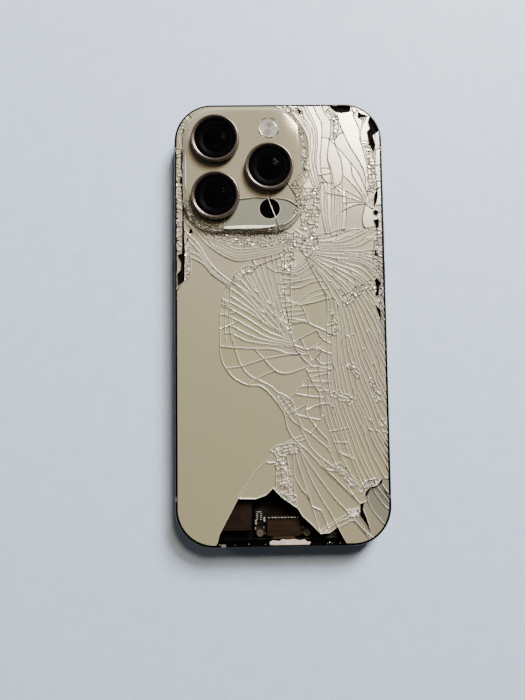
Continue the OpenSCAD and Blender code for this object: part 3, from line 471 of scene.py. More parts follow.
rungs(3.6, [(-19.9, 6.6), (-20.2, -3)], [(-15.8, 6.2), (-15.8, -2.4)], 1)
rungs(1.1, [(-19.8, 7), (-19.9, 4)], [(-17, 6.2), (-17.2, 3.4)], 0.9)

# arcs that come in from the left edge
crack((-32.2, 30.6), (-30, 28.5), (-27, 25), (-25, 21.5), (-22, 17.5), (-18, 14), (-15, 12), (-11, 9.2),
      (-6, 5), (-1, 0), (3.6, -6.4))
crack((-30.8, 27.4), (-26.8, 22.8), (-24, 19), (-20.6, 15.7), (-17.2, 13), (-15.4, 12.2))
crack((-30.4, 23.2), (-27.4, 22), (-25.8, 19.9), (-23.4, 17), (-20.4, 14.5), (-17.4, 12.4), (-16.6, 11.6))
crack((-31.4, 21.6), (-28.6, 20.8), (-25.7, 18.9), (-23, 15.7), (-20, 13.4), (-18, 12.1), (-16.6, 11.2))
crack((-32.4, 31), (-31.4, 27), (-30.4, 22), (-30, 18), (-30.6, 15), (-32.2, 13.2))
rubble(0.8, 1.7, (-31.4, 26), (-31.2, 20), (-31.4, 15))
rubble(1.5, 1.9, (-33.9, 59), (-33.8, 48), (-33.9, 36), (-34, 24))
crack((-32.9, 60), (-32.6, 54), (-32.9, 48), (-32.3, 44), (-32.6, 38), (-32.2, 31))

# arcs under the plateau, closer and closer to its crushed foot
fan(1.3,
    [(-29, 30.6), (-24, 25.4), (-20, 22.4), (-15.5, 20.3), (-12, 20.1), (-6, 21.1), (0, 22.6), (4.2, 25)],
    [(-28, 30.8), (-23, 26.2), (-19, 23.8), (-15, 22), (-11.6, 21.9), (-6, 22.8), (0, 24), (4.4, 26)],
    [(-27, 31), (-22.6, 27.6), (-18, 25.4), (-14.4, 24), (-11, 24), (-6, 24.6), (0, 25.6), (4.6, 27)])
fan(1.3, [(-24, 29.6), (-19, 26.4), (-12, 25.2), (-5, 25.8), (4, 27)],
    [(-21, 29.8), (-14, 28.8), (-6, 28.8), (4, 29.4)])
rubble(1.1, 3.6, (-22, 28.6), (-14, 27.2), (-6, 27.2), (3, 27.8))
rubble(1.1, 2.6, (-17, 29.3), (-8, 28.9), (2, 28.6))

# fan of the middle left, from the node beside the spine
crack((-16.8, 11), (-15.8, 13.6), (-12, 16.6), (-7, 18.6), (-3, 20.2), (0.4, 21.4), (4.4, 24.6))
rubble(1.2, 2.2, (-15.6, 13.4), (-12, 16.4), (-8, 18.4))
fan(1.95, [(3.4, -5.6), (2.6, 0), (1.4, 8), (0.9, 14), (0.2, 22)],
    [(3.4, -6.4), (0.6, 0.4), (-1.6, 7), (-3.4, 14), (-4.9, 20.6)],
    [(3.4, -6.8), (-1.4, -0.2), (-6, 6.6), (-9.6, 13), (-12, 17.4)],
    [(3.5, -7.2), (-3, -2), (-8, 3.2), (-13, 7.9), (-17.2, 11)],
    [(3.8, -7.4), (0, -4.6), (-5, -1.5), (-10, 2), (-15, 5), (-17.4, 6.2)])
crack((3.9, -7.6), (-0.6, -5.7), (-5, -3.7), (-10, -0.3), (-15.4, 3), (-17.4, 4))
crack((4.2, -8.2), (0, -7.2), (-5, -5.8), (-10, -2.8), (-15.4, 0.3), (-17.4, 1.2))
crack((4.6, -8.8), (0, -8), (-5, -7), (-10, -5.4), (-15.6, -2.5), (-17.6, -2))
crack((5.3, -9.5), (1.6, -8.9), (-5, -8.2), (-11.6, -7), (-15.6, -5), (-17, -4.4))
crack((6.8, -11.8), (2, -11.4), (-0.5, -10.4), (-4, -9.8), (-8, -9.7), (-15.9, -9.3))
crack((-13.8, -15.6), (-9, -14.2), (-5.6, -13.2), (2.2, -11.8), (6.4, -11.7))
crack((-5.8, -13.1), (-2.6, -16.7), (0, -17.9), (2.6, -18), (5, -17.3), (8.4, -16), (9.6, -15.1))
crack((-8.9, -20), (-5, -18.1), (-2.4, -17.2))

# spine, steps and polygons of the middle
crack((4.6, 26), (3.9, 20), (3.4, 14), (3.6, 4), (3.6, -1), (4, -7.8), (6, -10.2), (7.4, -11.2))
crack((1.6, 22), (1.3, 12), (1.8, 4), (2.9, -4), (3.9, -7))
rungs(1.5, [(1.2, 20), (1.4, 8), (2, 0), (3, -5)], [(3.6, 20), (3.4, 8), (3.6, 0), (3.7, -5)], 0.95)
rungs(1.7, [(-0.6, 18), (-0.2, 8), (1.4, -1)], [(1.4, 17), (1.4, 8), (2.2, 0)], 0.5)
rubble(1.2, 2.6, (3, 24.6), (3.4, 21), (3.6, 18.4))
fan(1.4, [(0.9, 19.9), (3.6, 17.6), (6.4, 18.7), (9.2, 21)],
    [(1.2, 15.9), (4, 14.8), (7.6, 15.8), (11, 18.4)],
    [(1.2, 12), (4.6, 12.1), (8.8, 13.4), (13, 14.2)])
crack((3.4, 10.4), (7, 10.9), (10.6, 12.4), (14.2, 13))
crack((3.4, 6), (5.4, 5.2), (6.8, 4.9), (10, 5.4), (15.6, 6.8))
crack((5.2, 5.2), (8.4, 7.8), (11.6, 9.6), (15, 10.2))
crack((7.6, 5.2), (10.6, 7.2), (15.2, 8.6))
crack((6.8, 5), (8.2, 2), (9.6, -1.3), (12.4, -2.8), (15.6, -4.3))
crack((1.6, 0.3), (5.2, 0), (9.3, -0.8))
crack((2, -1.4), (6, -0.9), (9.8, -1.3))
crack((4, -7.6), (8, -5.7), (12, -3.9), (12.8, -5.6), (14, -7), (11.2, -9.2), (7.2, -11.1))
crack((11.8, -3.6), (15.6, -4.6))
crack((14, -6.8), (15.4, -7.6))
crack((8.4, -10.4), (9.2, -12.2), (9.9, -14.2), (9.4, -15.4))
crack((11, -9), (13.3, -10.5), (11.5, -12.8), (12.4, -14.4), (14.2, -15.1), (15.6, -15))
crack((13.2, -10.6), (15.6, -11.4))
crack((11.6, -12.8), (9.8, -14.4))
crack((5.8, -11.4), (7.4, -13.4), (9.4, -15.2), (8.2, -16.2), (9.4, -19.4), (11, -22.6), (12.4, -24.8),
      (12.6, -30), (13.6, -34), (15, -38))
crack((9.2, -19), (6.4, -22.6), (3, -26))
crack((12.4, -14.4), (12.5, -18), (13.4, -22.6), (14.9, -24.6), (17.6, -24.4))
rungs(1.3, [(9.8, -16), (12.4, -24)], [(12.7, -15.6), (14.6, -24)], 0.75)
rungs(1.2, [(12.4, -16), (13.6, -23)], [(15.4, -16), (15.4, -23)], 0.7)
crack((8.9, -18.8), (8.8, -22.3), (8.6, -25.7), (7.9, -30.6), (9, -33), (12, -37), (14.7, -40.2),
      (15.3, -43.6))
crack((8.6, -22.2), (11.2, -22.3))
crack((8.4, -25.6), (12.6, -26.1))
crack((7.8, -30.4), (12, -28.7), (15, -28.3), (17, -29.6))
crack((4.9, -31.8), (7.2, -32.4), (9, -32.8))

crack((13.6, -23), (14.6, -28), (15.6, -33), (17.6, -40), (20, -47), (22.8, -53.4))
crack((12.6, -27), (14, -32.6), (16, -38.4), (18.4, -44.8), (20.6, -50.6))
crack((14.6, -25), (16, -29.4), (17.4, -34.4), (19.4, -40.6))
rungs(2.6, [(9.4, -34), (13, -42), (17, -50)], [(12.8, -30), (16, -38.4), (20, -49)], 0.7)
rungs(3.2, [(14.4, -30), (17.4, -40), (20.6, -48)], [(17.4, -30), (20.4, -40), (23.4, -48.6)], 0.6)

# fan that sweeps from the plateau's corner to the right edge
fan(1.95, [(9, 20.4), (12, 14.5), (13.9, 11), (15.3, 7.6), (15.6, 3), (15.3, -4), (15.3, -12), (15.3, -19),
           (16, -25), (18, -33), (20.4, -41), (23.6, -49.6), (27, -57)],
    [(9.4, 20.3), (14.4, 13.6), (17.6, 7), (18.6, 0), (18.6, -8), (19, -16), (20.4, -24), (23.2, -33),
     (26.6, -42), (29.8, -50), (32.6, -55.6)],
    [(9.8, 20.4), (15.4, 14), (20, 7), (22.4, 0), (24, -8), (26, -16), (28.6, -23), (31.6, -31), (35.6, -40)],
    [(10.2, 20.8), (17, 15), (23.4, 8), (27, 0), (30, -8), (32.8, -15), (35.6, -21.4)],
    [(10.4, 21.2), (18, 16.7), (25, 11.4), (29.6, 5), (33, -2), (35.6, -7)],
    [(10.6, 21.6), (19, 18.5), (26, 15.6), (30.6, 11), (33, 7), (35.6, 2)],
    [(11, 22), (20, 20.2), (27.5, 18.6), (30.8, 15.4), (33, 12), (35.6, 8)])
fan(1.5, [(11, 22), (20, 20.4), (27.5, 18.9), (31, 16.4), (35.6, 11)],
    [(11.4, 22.6), (20, 21.8), (28, 20.6), (31.4, 18.8), (35.6, 15)],
    [(12, 23.5), (20, 23.2), (28, 22.9), (30.6, 23.4), (35.6, 22.8)])
fan(1.7, [(13, 24.2), (20, 24.2), (25, 24.4), (28.4, 25.4), (31, 27), (35.6, 28)],
    [(13, 25.2), (18, 25), (24, 25.3), (27.6, 26.6), (29.6, 28.4), (33, 30.4)],
    [(13.4, 26.4), (17, 26.4), (21, 27.2), (24, 28.8), (26, 30.2), (33, 31.6)])
crack((12.4, 27.4), (16, 27.7), (19, 28.6), (22.6, 29.8), (26.2, 30.5))
crack((12.8, 28.4), (16, 29), (18.6, 29.7), (21, 30.6), (26, 30.6))
crack((33.4, 30.2), (30.6, 30.6), (28.6, 31.6), (28.3, 35), (29.2, 38.8))
rubble(1.1, 3.4, (2, 26), (6, 25.6), (10, 24.6), (13, 25.6))
rubble(1.15, 3, (5, 28.6), (9, 27.4), (12.6, 28))
rubble(1.15, 3.2, (20.4, 5.4), (24, 7.8), (28, 10.4), (32, 11.6))
rubble(1, 2.4, (17.4, 3), (17.8, -1), (17.8, -5.4))
rubble(1.1, 2, (22.4, -15.4), (24.2, -17), (25.8, -19))
rubble(1.2, 2.4, (17.6, -24.8), (20.6, -26.4), (23.6, -28))
rubble(1.2, 1.8, (29.4, -20.6), (31, -24), (32.4, -27.4))
rubble(1.2, 1.6, (33.4, -34), (33.8, -38))

# cracks down from the top edge, and the star near the right edge
fan(1.3, [(5.6, 70.4), (8.4, 66.4), (10.1, 62), (10.2, 57), (9.6, 53), (10.8, 48), (12.6, 43.4), (13, 40)],
    [(7.4, 75), (9, 70), (11.6, 65.6), (12, 60), (11.4, 55), (12.4, 49), (13.6, 44), (14, 40)],
    [(9.4, 75), (11.2, 71), (13.2, 66), (13.4, 60), (12.8, 54), (13.6, 48), (14.6, 43), (15, 39)])
crack((12, 75), (13.4, 71), (15, 67.4), (14.8, 61), (14.2, 55), (14.6, 50), (15.6, 45), (15.9, 42))
crack((14.6, 75), (16.4, 71), (18, 68.6), (18, 64), (17, 59), (16.8, 55), (17.8, 50), (17.9, 44), (17.8, 41))
crack((17.6, 62), (20.2, 59.4), (23.8, 55), (27, 50.6), (29, 46), (30.2, 42.6))
crack((19.4, 60.2), (21.3, 55), (21.9, 50), (21.3, 47), (20, 45.8), (17.8, 44.6))
crack((16.9, 54.6), (18.2, 50.6), (18.8, 46), (21.2, 43.2))
crack((17.2, 62.4), (19.4, 62), (20.8, 63.8), (22.6, 64.4))
crack((19.2, 61.8), (18.8, 65), (19.6, 68.4), (18, 69))
crack((16.8, 75), (18.2, 72.6), (20, 69.4), (22, 65.4), (24.2, 60.2), (27.2, 55), (29.4, 50), (29.6, 45),
      (29.9, 42))
crack((18.6, 71.4), (20.6, 68.6), (22.4, 64.6))
crack((25.8, 72.4), (26.4, 69.4), (27.8, 66), (28.6, 60), (29.8, 55), (30.6, 50), (30.6, 46), (30, 42))
crack((29.4, 68.6), (28.2, 64), (28.4, 60.6), (30.8, 60.4))
crack((28.4, 61.4), (31.2, 61.2))
crack((24.8, 53.6), (25.2, 49.4), (27.6, 45), (29.6, 41))
rungs(1.9, [(14.8, 52), (15, 47)], [(17.2, 52.4), (17.6, 47.6)], 1)
for tip in ((23.4, 43.6), (25.2, 46), (22.4, 39.6), (22.6, 37.6), (16, 43.2)):
    crack(tip, Vector(tip).lerp(Vector((29.4, 39.4)), 0.5) + Vector((0.2, 0.5)), (29.4, 39.4))
crack((29.3, 39.4), (31, 38.2), (33, 37))
crack((29.3, 39.5), (31, 40.6), (33, 41.4))
crack((28.4, 38.6), (29.4, 39.5), (30.2, 43))
fan(1.45, [(14.4, 45), (14.2, 40), (14.6, 35), (15.6, 29.6)],
    [(16.4, 44), (16.4, 38), (16.6, 33), (17.4, 29.2)],
    [(20, 43), (19.7, 38), (19.4, 34), (19.6, 29.8)], [(22.8, 42.6), (22.9, 38), (22.6, 34), (22, 30)])
rubble(1.15, 5.6, (9.6, 30.4), (10.8, 36), (11.2, 41), (11, 45))
rubble(1.3, 2.4, (7, 47), (8.8, 49.4), (9.4, 53))
rubble(1.1, 2.6, (30.8, 60), (31.6, 54), (31.8, 48), (31.2, 43.6))
crack((33, 61), (33.2, 57), (32.9, 52), (33.3, 47), (33.6, 45.2))
crack((32.9, 31), (33.2, 28), (33, 23.8))
crack((33.2, 21.4), (33.4, 17), (33, 13.4))
crack((33, 7.8), (33.3, 6), (33.2, 4))
crack((33.4, 0), (33.6, -4), (34.1, -9), (35.5, -12))
rungs(2.6, [(33, 61), (33, 44), (33.4, 26), (33.4, 0)],
      [(35.6, 61.6), (35.6, 44), (35.6, 26), (35.6, 0)], 0.8)
rubble(1.2, 1.4, (32.6, 28), (32.3, 22), (32.8, 16), (33.2, 8))
rubble(1.2, 1.8, (1.6, 73.2), (5, 72.6), (8.4, 72.4))
rubble(1.4, 1.6, (17, 72.4), (19.4, 70.4), (19.8, 66), (19.2, 62.6))
rubble(1.2, 1.4, (25, 72.9), (27, 71.4), (30, 68.6))

# second node, above the hole in the bottom
crack((-15, -59.2), (-9, -50.4), (-4.4, -46), (-3, -44), (0.4, -41.4), (4, -39.6))
crack((-6.4, -47.2), (-3, -47.4), (-0.8, -46.8), (1.4, -45))
crack((-2.2, -47), (-2.5, -51), (-2.6, -56))
fan(4.5, [(4, -42), (4.4, -46), (6.2, -52), (8.2, -58), (9.6, -63), (12, -71)],
    [(5, -42.4), (7.4, -48.6), (9.6, -54), (12.6, -59.6), (15.4, -64), (17.4, -68)])
crack((3.4, -43), (3.6, -51), (5.2, -54.8), (7.6, -58), (8.6, -60))
crack((3.2, -42), (3, -48), (3.4, -54), (3.4, -58), (4.6, -62.6))
crack((5.2, -42.4), (9, -48.4), (13, -54.2), (17, -59.4), (20, -62.6), (22.2, -65.2))
crack((12.6, -46.4), (14, -49.4), (17, -52.6), (20.6, -56.4), (24.8, -60.8))
crack((16, -50.2), (19, -50.8), (20.6, -53), (21.4, -56), (24.4, -60.4))
crack((12, -71), (14, -69.4), (17.2, -67.2), (20, -66), (22.4, -65), (23.6, -63.4), (25.4, -62.4))
crack((11.8, -69.8), (14.4, -68), (17, -66.4))
crack((17.6, -68.6), (20.4, -67.4), (22.8, -66.4), (25.8, -69.6), (28.8, -73.4))
crack((22.6, -65.4), (24.6, -68), (27, -70.4), (30, -72.8))
crack((27.4, -59.6), (29, -63), (31.4, -66), (33.6, -68.6))
crack((29.2, -56), (31.4, -59.6), (33, -61.6), (35.4, -63.8))
crack((30.6, -55.2), (32.6, -58), (35.4, -61.4))
crack((32, -54.2), (33.6, -56.6), (35.4, -58.6))
crack((32.8, -53), (34, -52.8), (35.6, -53.6))
crack((25.2, -61), (27.6, -60), (27.4, -58.2))
crack((28.3, -69.4), (29.4, -72.8))
rubble(1.15, 3.4, (-3, -44.6), (1, -42.8), (5, -42.2))
rubble(1.2, 3.8, (-0.8, -45.4), (0.2, -51), (1.2, -57), (2.6, -60))
rubble(1.2, 2.4, (17.6, -49), (20.8, -51.4), (23.8, -55.4))
rubble(1, 1.8, (20.8, -64), (22.6, -63.8), (24.6, -63))
rubble(1.2, 1.2, (25.4, -57), (28, -54.4), (31, -53.6))

# cracks of the plateau, round its foot and across its lower edge
crack((-31.6, 71.9), (-29.4, 69.6), (-31.4, 66), (-32.6, 61), (-32.6, 50), (-32.5, 42), (-31.6, 37),
      (-29.4, 33), (-26, 30.6), (-21, 29.9), (-8, 29.9), (-1, 30), (2.6, 31.2), (6, 34.2), (8, 38.6),
      (8.4, 44), (8.3, 52), (8.4, 60), (7.4, 64.6), (5.6, 68.4), (4.6, 70.6), (1.6, 73), (0.6, 75))
crack((-3.9, 46), (-3, 40.2), (-2, 36.2), (-0.9, 33), (-0.2, 30.6), (1.2, 28.2))
crack((-14.2, 40.2), (-13.4, 40.5), (-9, 41), (-6.4, 41), (-3.6, 40.6), (0, 40.7), (3.4, 39.8), (6, 37.9),
      (6.2, 36), (4.8, 34.4), (1.5, 32.4), (-1, 31))
crack((2.4, 46.6), (6.4, 40.4), (9.4, 36))
crack((-26, 38.2), (-29, 35.6), (-33.2, 33.4))
crack((-17.6, 36.2), (-18.6, 33), (-19.6, 29.4))
crack((-21.4, 35), (-22.6, 32), (-24, 30))
rubble(1.2, 2.8, (-31, 40), (-29.4, 36), (-26, 32.6), (-20.6, 31.2))
rubble(1.25, 2.6, (4.6, 46), (6.6, 43), (7.4, 38), (6, 35.2))
rubble(1.2, 1.4, (-31.6, 71), (-32.6, 67), (-33.4, 63))
rubble(1.3, 1.2, (7.6, 66), (8.4, 60), (8.6, 54))

# places where glass has fallen out: the torn bottom, then chips along the edges
fallen_outlines = [
    [(-22.4, -76), (-21.6, -73), (-20.9, -70.2), (-14.8, -58.8), (-9, -59), (-5.6, -57.8), (-3.4, -55.7),
     (-0.5, -58.7), (4.6, -62.3), (6, -64.7), (9.5, -67.9), (11.8, -70.5), (15, -70.2),
     (17.5, -68.4), (20.4, -74.2), (20.8, -76)],
    [(26.7, -58.3), (27.2, -57), (28.6, -55.7), (30.6, -55.3), (32.8, -52.8), (32.4, -54.4), (30.2, -56.1),
     (28.6, -56.3), (27.3, -58.6)],
    [(25.2, -61), (26.4, -60.7), (25.9, -62.8), (26.9, -65.3), (28.3, -69.6), (26.3, -66.6), (25, -64.8)],
    [(-33.3, 46), (-32.7, 40), (-32.9, 30), (-33, 22.8), (-34.5, 22.2), (-33.3, 19.6), (-33.5, 17),
     (-34.7, 15.6), (-34.4, 11.6), (-32.2, 13.4), (-32, 24), (-32.3, 30), (-32.4, 38), (-32.9, 46)],
    [(-33.2, 60), (-32.7, 57), (-32.9, 52), (-33.5, 51), (-33.2, 55)],
    [(-33.5, 49.6), (-32.9, 49), (-32.8, 46.6), (-33.7, 47)], [(-32.2, 66.4), (-31.8, 65), (-32.6, 64.6)],
    [(17.2, 75.6), (18.4, 72.9), (20, 71.7), (22, 71.4), (24.6, 71.9), (25, 73), (25, 75.6)],
    [(27.5, 71.4), (31, 70.1), (27.7, 69.4)],
    [(31.8, 70), (31, 68), (31.6, 65.6), (30.6, 64.4), (31.2, 59.8), (32.6, 57.4), (33.2, 60), (32.4, 63.2),
     (35.4, 65.8), (37, 70)],
    [(33.6, 45.2), (32.5, 42), (32.2, 38.3), (32.9, 39.4), (33.5, 42)],
    [(32, 36.8), (33.7, 37), (33.2, 35.3), (32.2, 35.6)],
    [(32.1, 33.6), (33.7, 34), (33.6, 31.4), (32.9, 30.6)],
    [(32.1, 23.8), (33.2, 21.2), (32, 21.4)],
    [(31.8, 13), (32.6, 13.7), (34, 12), (33.3, 11), (33.1, 7.8), (31.9, 7.8), (32.4, 10.5)],
    [(31.7, 4.6), (33.5, 3.2), (33.7, 0), (33, 0.8)],
    [(-30.6, 29.7), (-29, 29.6), (-30, 31.6)], [(-31.6, 26), (-30.7, 28), (-31.2, 28)],
    [(4, 73.4), (5.8, 71.2), (4.6, 72.8)], [(6.8, 73.2), (8.2, 72), (7.2, 71)]]
fallen = [[Vector(p) for p in outline] for outline in fallen_outlines]


def into(at, half, radius):
    """How far a point lies inside a rounded rectangle."""
    qx = abs(at.x) - half.x + radius
    qy = abs(at.y) - half.y + radius
    outside = math.hypot(max(qx, 0), max(qy, 0))
    return radius - outside - min(max(qx, qy), 0)


def ring(centre, radius, count=72):
    """A circle as a closed line."""
    angles = [2 * math.pi * k / count for k in range(count)]
    return [centre + Vector((math.cos(angle), math.sin(angle))) * radius for angle in angles]


def rounded(half, radius, step=1.6):
    """The outline of a rounded rectangle, counter-clockwise."""
    arc_steps = 24
    points = []
    for turn, (sx, sy) in enumerate(((1, 1), (-1, 1), (-1, -1), (1, -1))):
        centre = Vector((sx * (half.x - radius), sy * (half.y - radius)))
        for k in range(arc_steps + 1):
            angle = (turn + k / arc_steps) * math.pi / 2
            points.append(centre + Vector((math.cos(angle), math.sin(angle))) * radius)
    filled = []
    for a, b in zip(points, points[1:] + points[:1]):
        parts = max(1, round((b - a).length / step))
        filled += [a.lerp(b, k / parts) for k in range(parts)]
    return filled


holes = [ring(centre, radius) for centre, radius in cutouts]
closed = [rounded(glass_half, corner_r)] + holes + fallen


def surface(at):
    """Height of the unbroken glass, with the plateau's rounded slope."""
    depth = into(at - plateau_mid, plateau_half, plateau_r)
    if depth <= 0:
        return flat_top
    if depth >= plateau_slope:
        return flat_top + plateau_h
    return flat_top + plateau_h * math.sin(math.acos(1 - depth / plateau_slope))


def first_met(points, edges, at, way, reach):
    """Where a crack that runs on from a point meets the next one, if that is within reach."""
    starts = np.array([points[a][:] for a, b in edges])
    spans = np.array([points[b][:] for a, b in edges]) - starts
    gaps = starts - np.array(at[:])
    turns = way.x * spans[:, 1] - way.y * spans[:, 0]
    turns[np.abs(turns) < 1e-9] = 1e-9
    far = (gaps[:, 0] * spans[:, 1] - gaps[:, 1] * spans[:, 0]) / turns
    part = (gaps[:, 0] * way.y - gaps[:, 1] * way.x) / turns
    met = far[(far > 0.01) & (far < reach) & (part >= 0) & (part <= 1)]
    return at + way * (met.min() + 0.03) if len(met) else None


merge_distance = 0.04
# what the triangulation gives back: only the lines cut at their crossings, or triangles inside them
lines_only = 3
triangles_inside = 1


def broken_map():
    """All crack lines cut at their crossings, without loose ends: points and edges."""
    points = []
    edges = []
    for line in cracks:
        for a, b in zip(line, line[1:]):
            near = max(into((a + b) / 2 - plateau_mid, plateau_half, plateau_r), 0)
            parts = 2 if 0 < near < plateau_slope and (b - a).length > 0.6 else 1
            for k in range(parts):
                edges.append((len(points), len(points) + 1))
                points += [a.lerp(b, k / parts), a.lerp(b, (k + 1) / parts)]
    for loop in closed:
        first = len(points)
        points += loop
        edges += [(first + k, first + (k + 1) % len(loop)) for k in range(len(loop))]
    # a crack that stops short runs on to the next one, up to 5 mm and then up to 3 mm away
    for reach in (5, 3, 0):
        points, edges = delaunay_2d_cdt(points, edges, [], lines_only, merge_distance)[:2]
        ends = {}
        for a, b in edges:
            if a != b:
                ends.setdefault(a, set()).add(b)
                ends.setdefault(b, set()).add(a)
        tips = [v for v, near in ends.items() if len(near) == 1 and into(points[v], glass_half, corner_r) > 0]
        known = list(edges)
        for v in tips if reach else []:
            way = (points[v] - points[next(iter(ends[v]))]).normalized()
            met = first_met(points, known, points[v], way, reach)
            if met:
                edges.append((v, len(points)))
                points.append(met)
    loose = [v for v, near in ends.items() if len(near) == 1]
    while loose:
        v = loose.pop()
        if len(ends.get(v, ())) == 1:
            other = ends.pop(v).pop()
            ends[other].discard(v)
            if len(ends[other]) == 1:
                loose.append(other)
    return points, ends


def area_of(loop):
    """The area inside a closed line, negative when it runs clockwise."""
    return sum(a.x * b.y - b.x * a.y for a, b in zip(loop, loop[1:] + loop[:1])) / 2


def holds(loop, at):
    """True if a point lies inside a closed line."""
    inside = False
    for a, b in zip(loop, loop[1:] + loop[:1]):
        if (a.y > at.y) != (b.y > at.y) and at.x < (b.x - a.x) * (at.y - a.y) / (b.y - a.y) + a.x:
            inside = not inside
    return inside


def mean(loop):
    """The middle of a shard's corners."""
    return sum(loop, Vector((0, 0))) / len(loop)


def shards_of(points, ends):
    """Every closed cell of the map, with the loops of any holes in it."""
    def turn_of(v, w):
        return math.atan2(points[w].y - points[v].y, points[w].x - points[v].x)

    around = {v: sorted(near, key=lambda w: turn_of(v, w)) for v, near in ends.items() if near}
    done = set()
    cells = []
    rims = []
    for v in around:
        for w in around[v]:
            if (v, w) in done:
                continue
            loop = []
            a, b = v, w
            while (a, b) not in done:
                done.add((a, b))
                loop.append(points[a])
                near = around[b]
                a, b = b, near[near.index(a) - 1]
            size = area_of(loop)
            if size > 0.03:
                cells.append([size, loop, []])
            elif size < -0.5:
                rims.append(loop)
    cells.sort(key=lambda cell: cell[0])
    for rim in rims:
        for size, loop, inner in cells:
            if size > -area_of(rim) * 1.0001 and rim[0] not in loop and holds(loop, rim[0]):
                inner.append(rim)
                break
    return cells


slope_points = []
for depth in (0.05, 0.2, 0.45, 0.8, 1.25, 1.75, plateau_slope):
    level = rounded(plateau_half - Vector((depth, depth)), plateau_r - depth, 1)
    slope_points += [p + plateau_mid for p in level]
crack_gap = 0.05
lip_rise = 0.95


def lip_w(at):
    """Width of the raised lip: fine near the top edge, coarser further down."""
    return 0.26 + 0.11 * min(1, max(0, (46 - at.y) / 24))


def room(loop, at, way, reach):
    """How far a point can move along a direction before it meets the shard's own edge."""
    best = reach
    for a, b in zip(loop, loop[1:] + loop[:1]):
        if a is at or b is at:
            continue
        across = b - a
        turn = way.x * across.y - way.y * across.x
        if abs(turn) < 1e-9:
            continue
        gap = a - at
        far = (gap.x * across.y - gap.y * across.x) / turn
        part = (gap.x * way.y - gap.y * way.x) / turn
        if 1e-6 < far < best and -0.01 <= part <= 1.01:
            best = far
    return best


def drawn_in(loop):
    """The shard's edge just inside its crack, and the line where its lip meets its face."""
    outer = []
    inner = []
    lips = []
    for k, at in enumerate(loop):
        before = (at - loop[k - 1]).normalized()
        after = (loop[(k + 1) % len(loop)] - at).normalized()
        side = Vector((-before.y - after.y, before.x + after.x))
        if side.length < 1e-4:
            side = Vector((-after.y, after.x))
        side.normalize()
        miter = 1 / max(0.4, side.dot(Vector((-after.y, after.x))))
        free = room(loop, at, side, lip_w(at) * 4)
        lip = min(lip_w(at) * miter, free * 0.4)
        outer.append(at + side * min(crack_gap * miter, free * 0.08))
        inner.append(at + side * lip)
        lips.append(min(lip_w(at), free * 0.4))
    return outer, inner, lips


on_edge = 0.03


def edge_kind(at):
    """What a point of the map lies on: the sheet's outer edge, a round hole, or a crack."""
    if into(at, glass_half, corner_r) < on_edge:
        return "rim"
    for centre, radius in cutouts:
        if abs((at - centre).length - radius) < on_edge:
            return "hole"
    return "crack"


# in square millimetres: smaller shards than the first are crumbs, larger ones than the second lie flat
crumb_area = 1.5
steady_area = 400


def bared_and_shaded_at(centre):
    """Bared at the left edge; greyed at the right edge, painted shade at the lower right corner, painted
    reflection at the plateau's foot.
    """
    bared = 1.0 if centre.x < -32.6 and 20 < centre.y < 37 and dice.random() < 0.9 else 0.0
    # greyed: plain grey at the right edge, painted shade at the lower right corner, a greener painted
    # reflection at the plateau's foot
    grey_and_painted_shade = min(1, max(0, (centre.x - 24) / 8)) * min(1, max(0, (-50 - centre.y) / 6))
    if -19 < centre.x < 5 and 32 < centre.y < 40 or centre.x > 32.6 and -6 < centre.y < 62:
        grey_and_painted_shade = 1.0
    return bared, grey_and_painted_shade


def add_shard(mesh, size, loop, inner_loops):
    """One shard as a closed solid: face, raised chipped lip, broken sides and back."""
    verts, faces, marks = mesh
    centre = mean(loop)
    reach = max((p - centre).length for p in loop)
    crumb = 1.0 if size < crumb_area else 0.0
    lean = min(0.2, 0.16 / reach) if crumb else min(0.02, 0.09 / reach)
    lean_x, lean_y = dice.gauss(0, lean), dice.gauss(0, lean)
    sink = dice.uniform(-0.12, 0.05) if crumb else dice.uniform(-0.02, 0.02)
    if size > steady_area:
        lean_x = lean_y = sink = 0
    tone = dice.random()
    bared, grey_and_painted_shade = bared_and_shaded_at(centre)

    def height(at):
        return surface(at) + lean_x * (at.x - centre.x) + lean_y * (at.y - centre.y) + sink

    def put(at, z, edge, rim=0.0):
        verts.append((at.x * MM, at.y * MM, z * MM))
        marks.append((tone, edge, crumb, bared, grey_and_painted_shade, rim))
        return len(verts) - 1

    flat_points = []
    flat_edges = []
    flat_ids = []
    bottoms = []
    for line in [loop] + inner_loops:
        outer, inner, lips = drawn_in(line)
        kinds = [edge_kind(p) for p in line]
        rise = {"rim": -0.35, "hole": 0.0, "crack": lip_rise}
        top = [put(p, height(p) + rise[kind] * lip, 1, float(kind == "rim"))
               for p, kind, lip in zip(outer, kinds, lips)]
        low = [put(p, height(p) - glass_t, 1) for p in outer]
        seat = [put(p, height(p), 0) for p in inner]
        count = len(line)
        for k in range(count):
            n = (k + 1) % count
            faces.append((top[k], top[n], seat[n], seat[k]))
            faces.append((low[k], low[n], top[n], top[k]))
        flat_edges += [(len(flat_points) + k, len(flat_points) + (k + 1) % count) for k in range(count)]
        flat_points += inner
        flat_ids += seat
        bottoms.append(low)
    if len(bottoms) == 1:
        faces.append(tuple(reversed(bottoms[0])))
    if into(centre - plateau_mid, plateau_half, plateau_r) > -reach:
        face_line = flat_points[:len(loop)]
        extra = [p for p in slope_points if (p - centre).length < reach + 0.1 and holds(face_line, p)
                 and not any(holds(hole, p) for hole in inner_loops)]
        extra = [p for p in extra if min((p - q).length for q in flat_points) > 0.25]
    else:
        extra = []
    solved = delaunay_2d_cdt(flat_points + extra, flat_edges, [], triangles_inside, 1e-5)
    ids = []
    for at, sources in zip(solved[0], solved[3]):
        known = [s for s in sources if s < len(flat_ids)]
        ids.append(flat_ids[known[0]] if known else put(at, height(at), 0))
    for triangle in solved[2]:
        middle = mean([solved[0][i] for i in triangle])
        if inner_loops and any(holds(hole, middle) for hole in inner_loops):
            continue
        corners = tuple(ids[i] for i in triangle)
        if len(set(corners)) == 3:
            faces.append(corners)


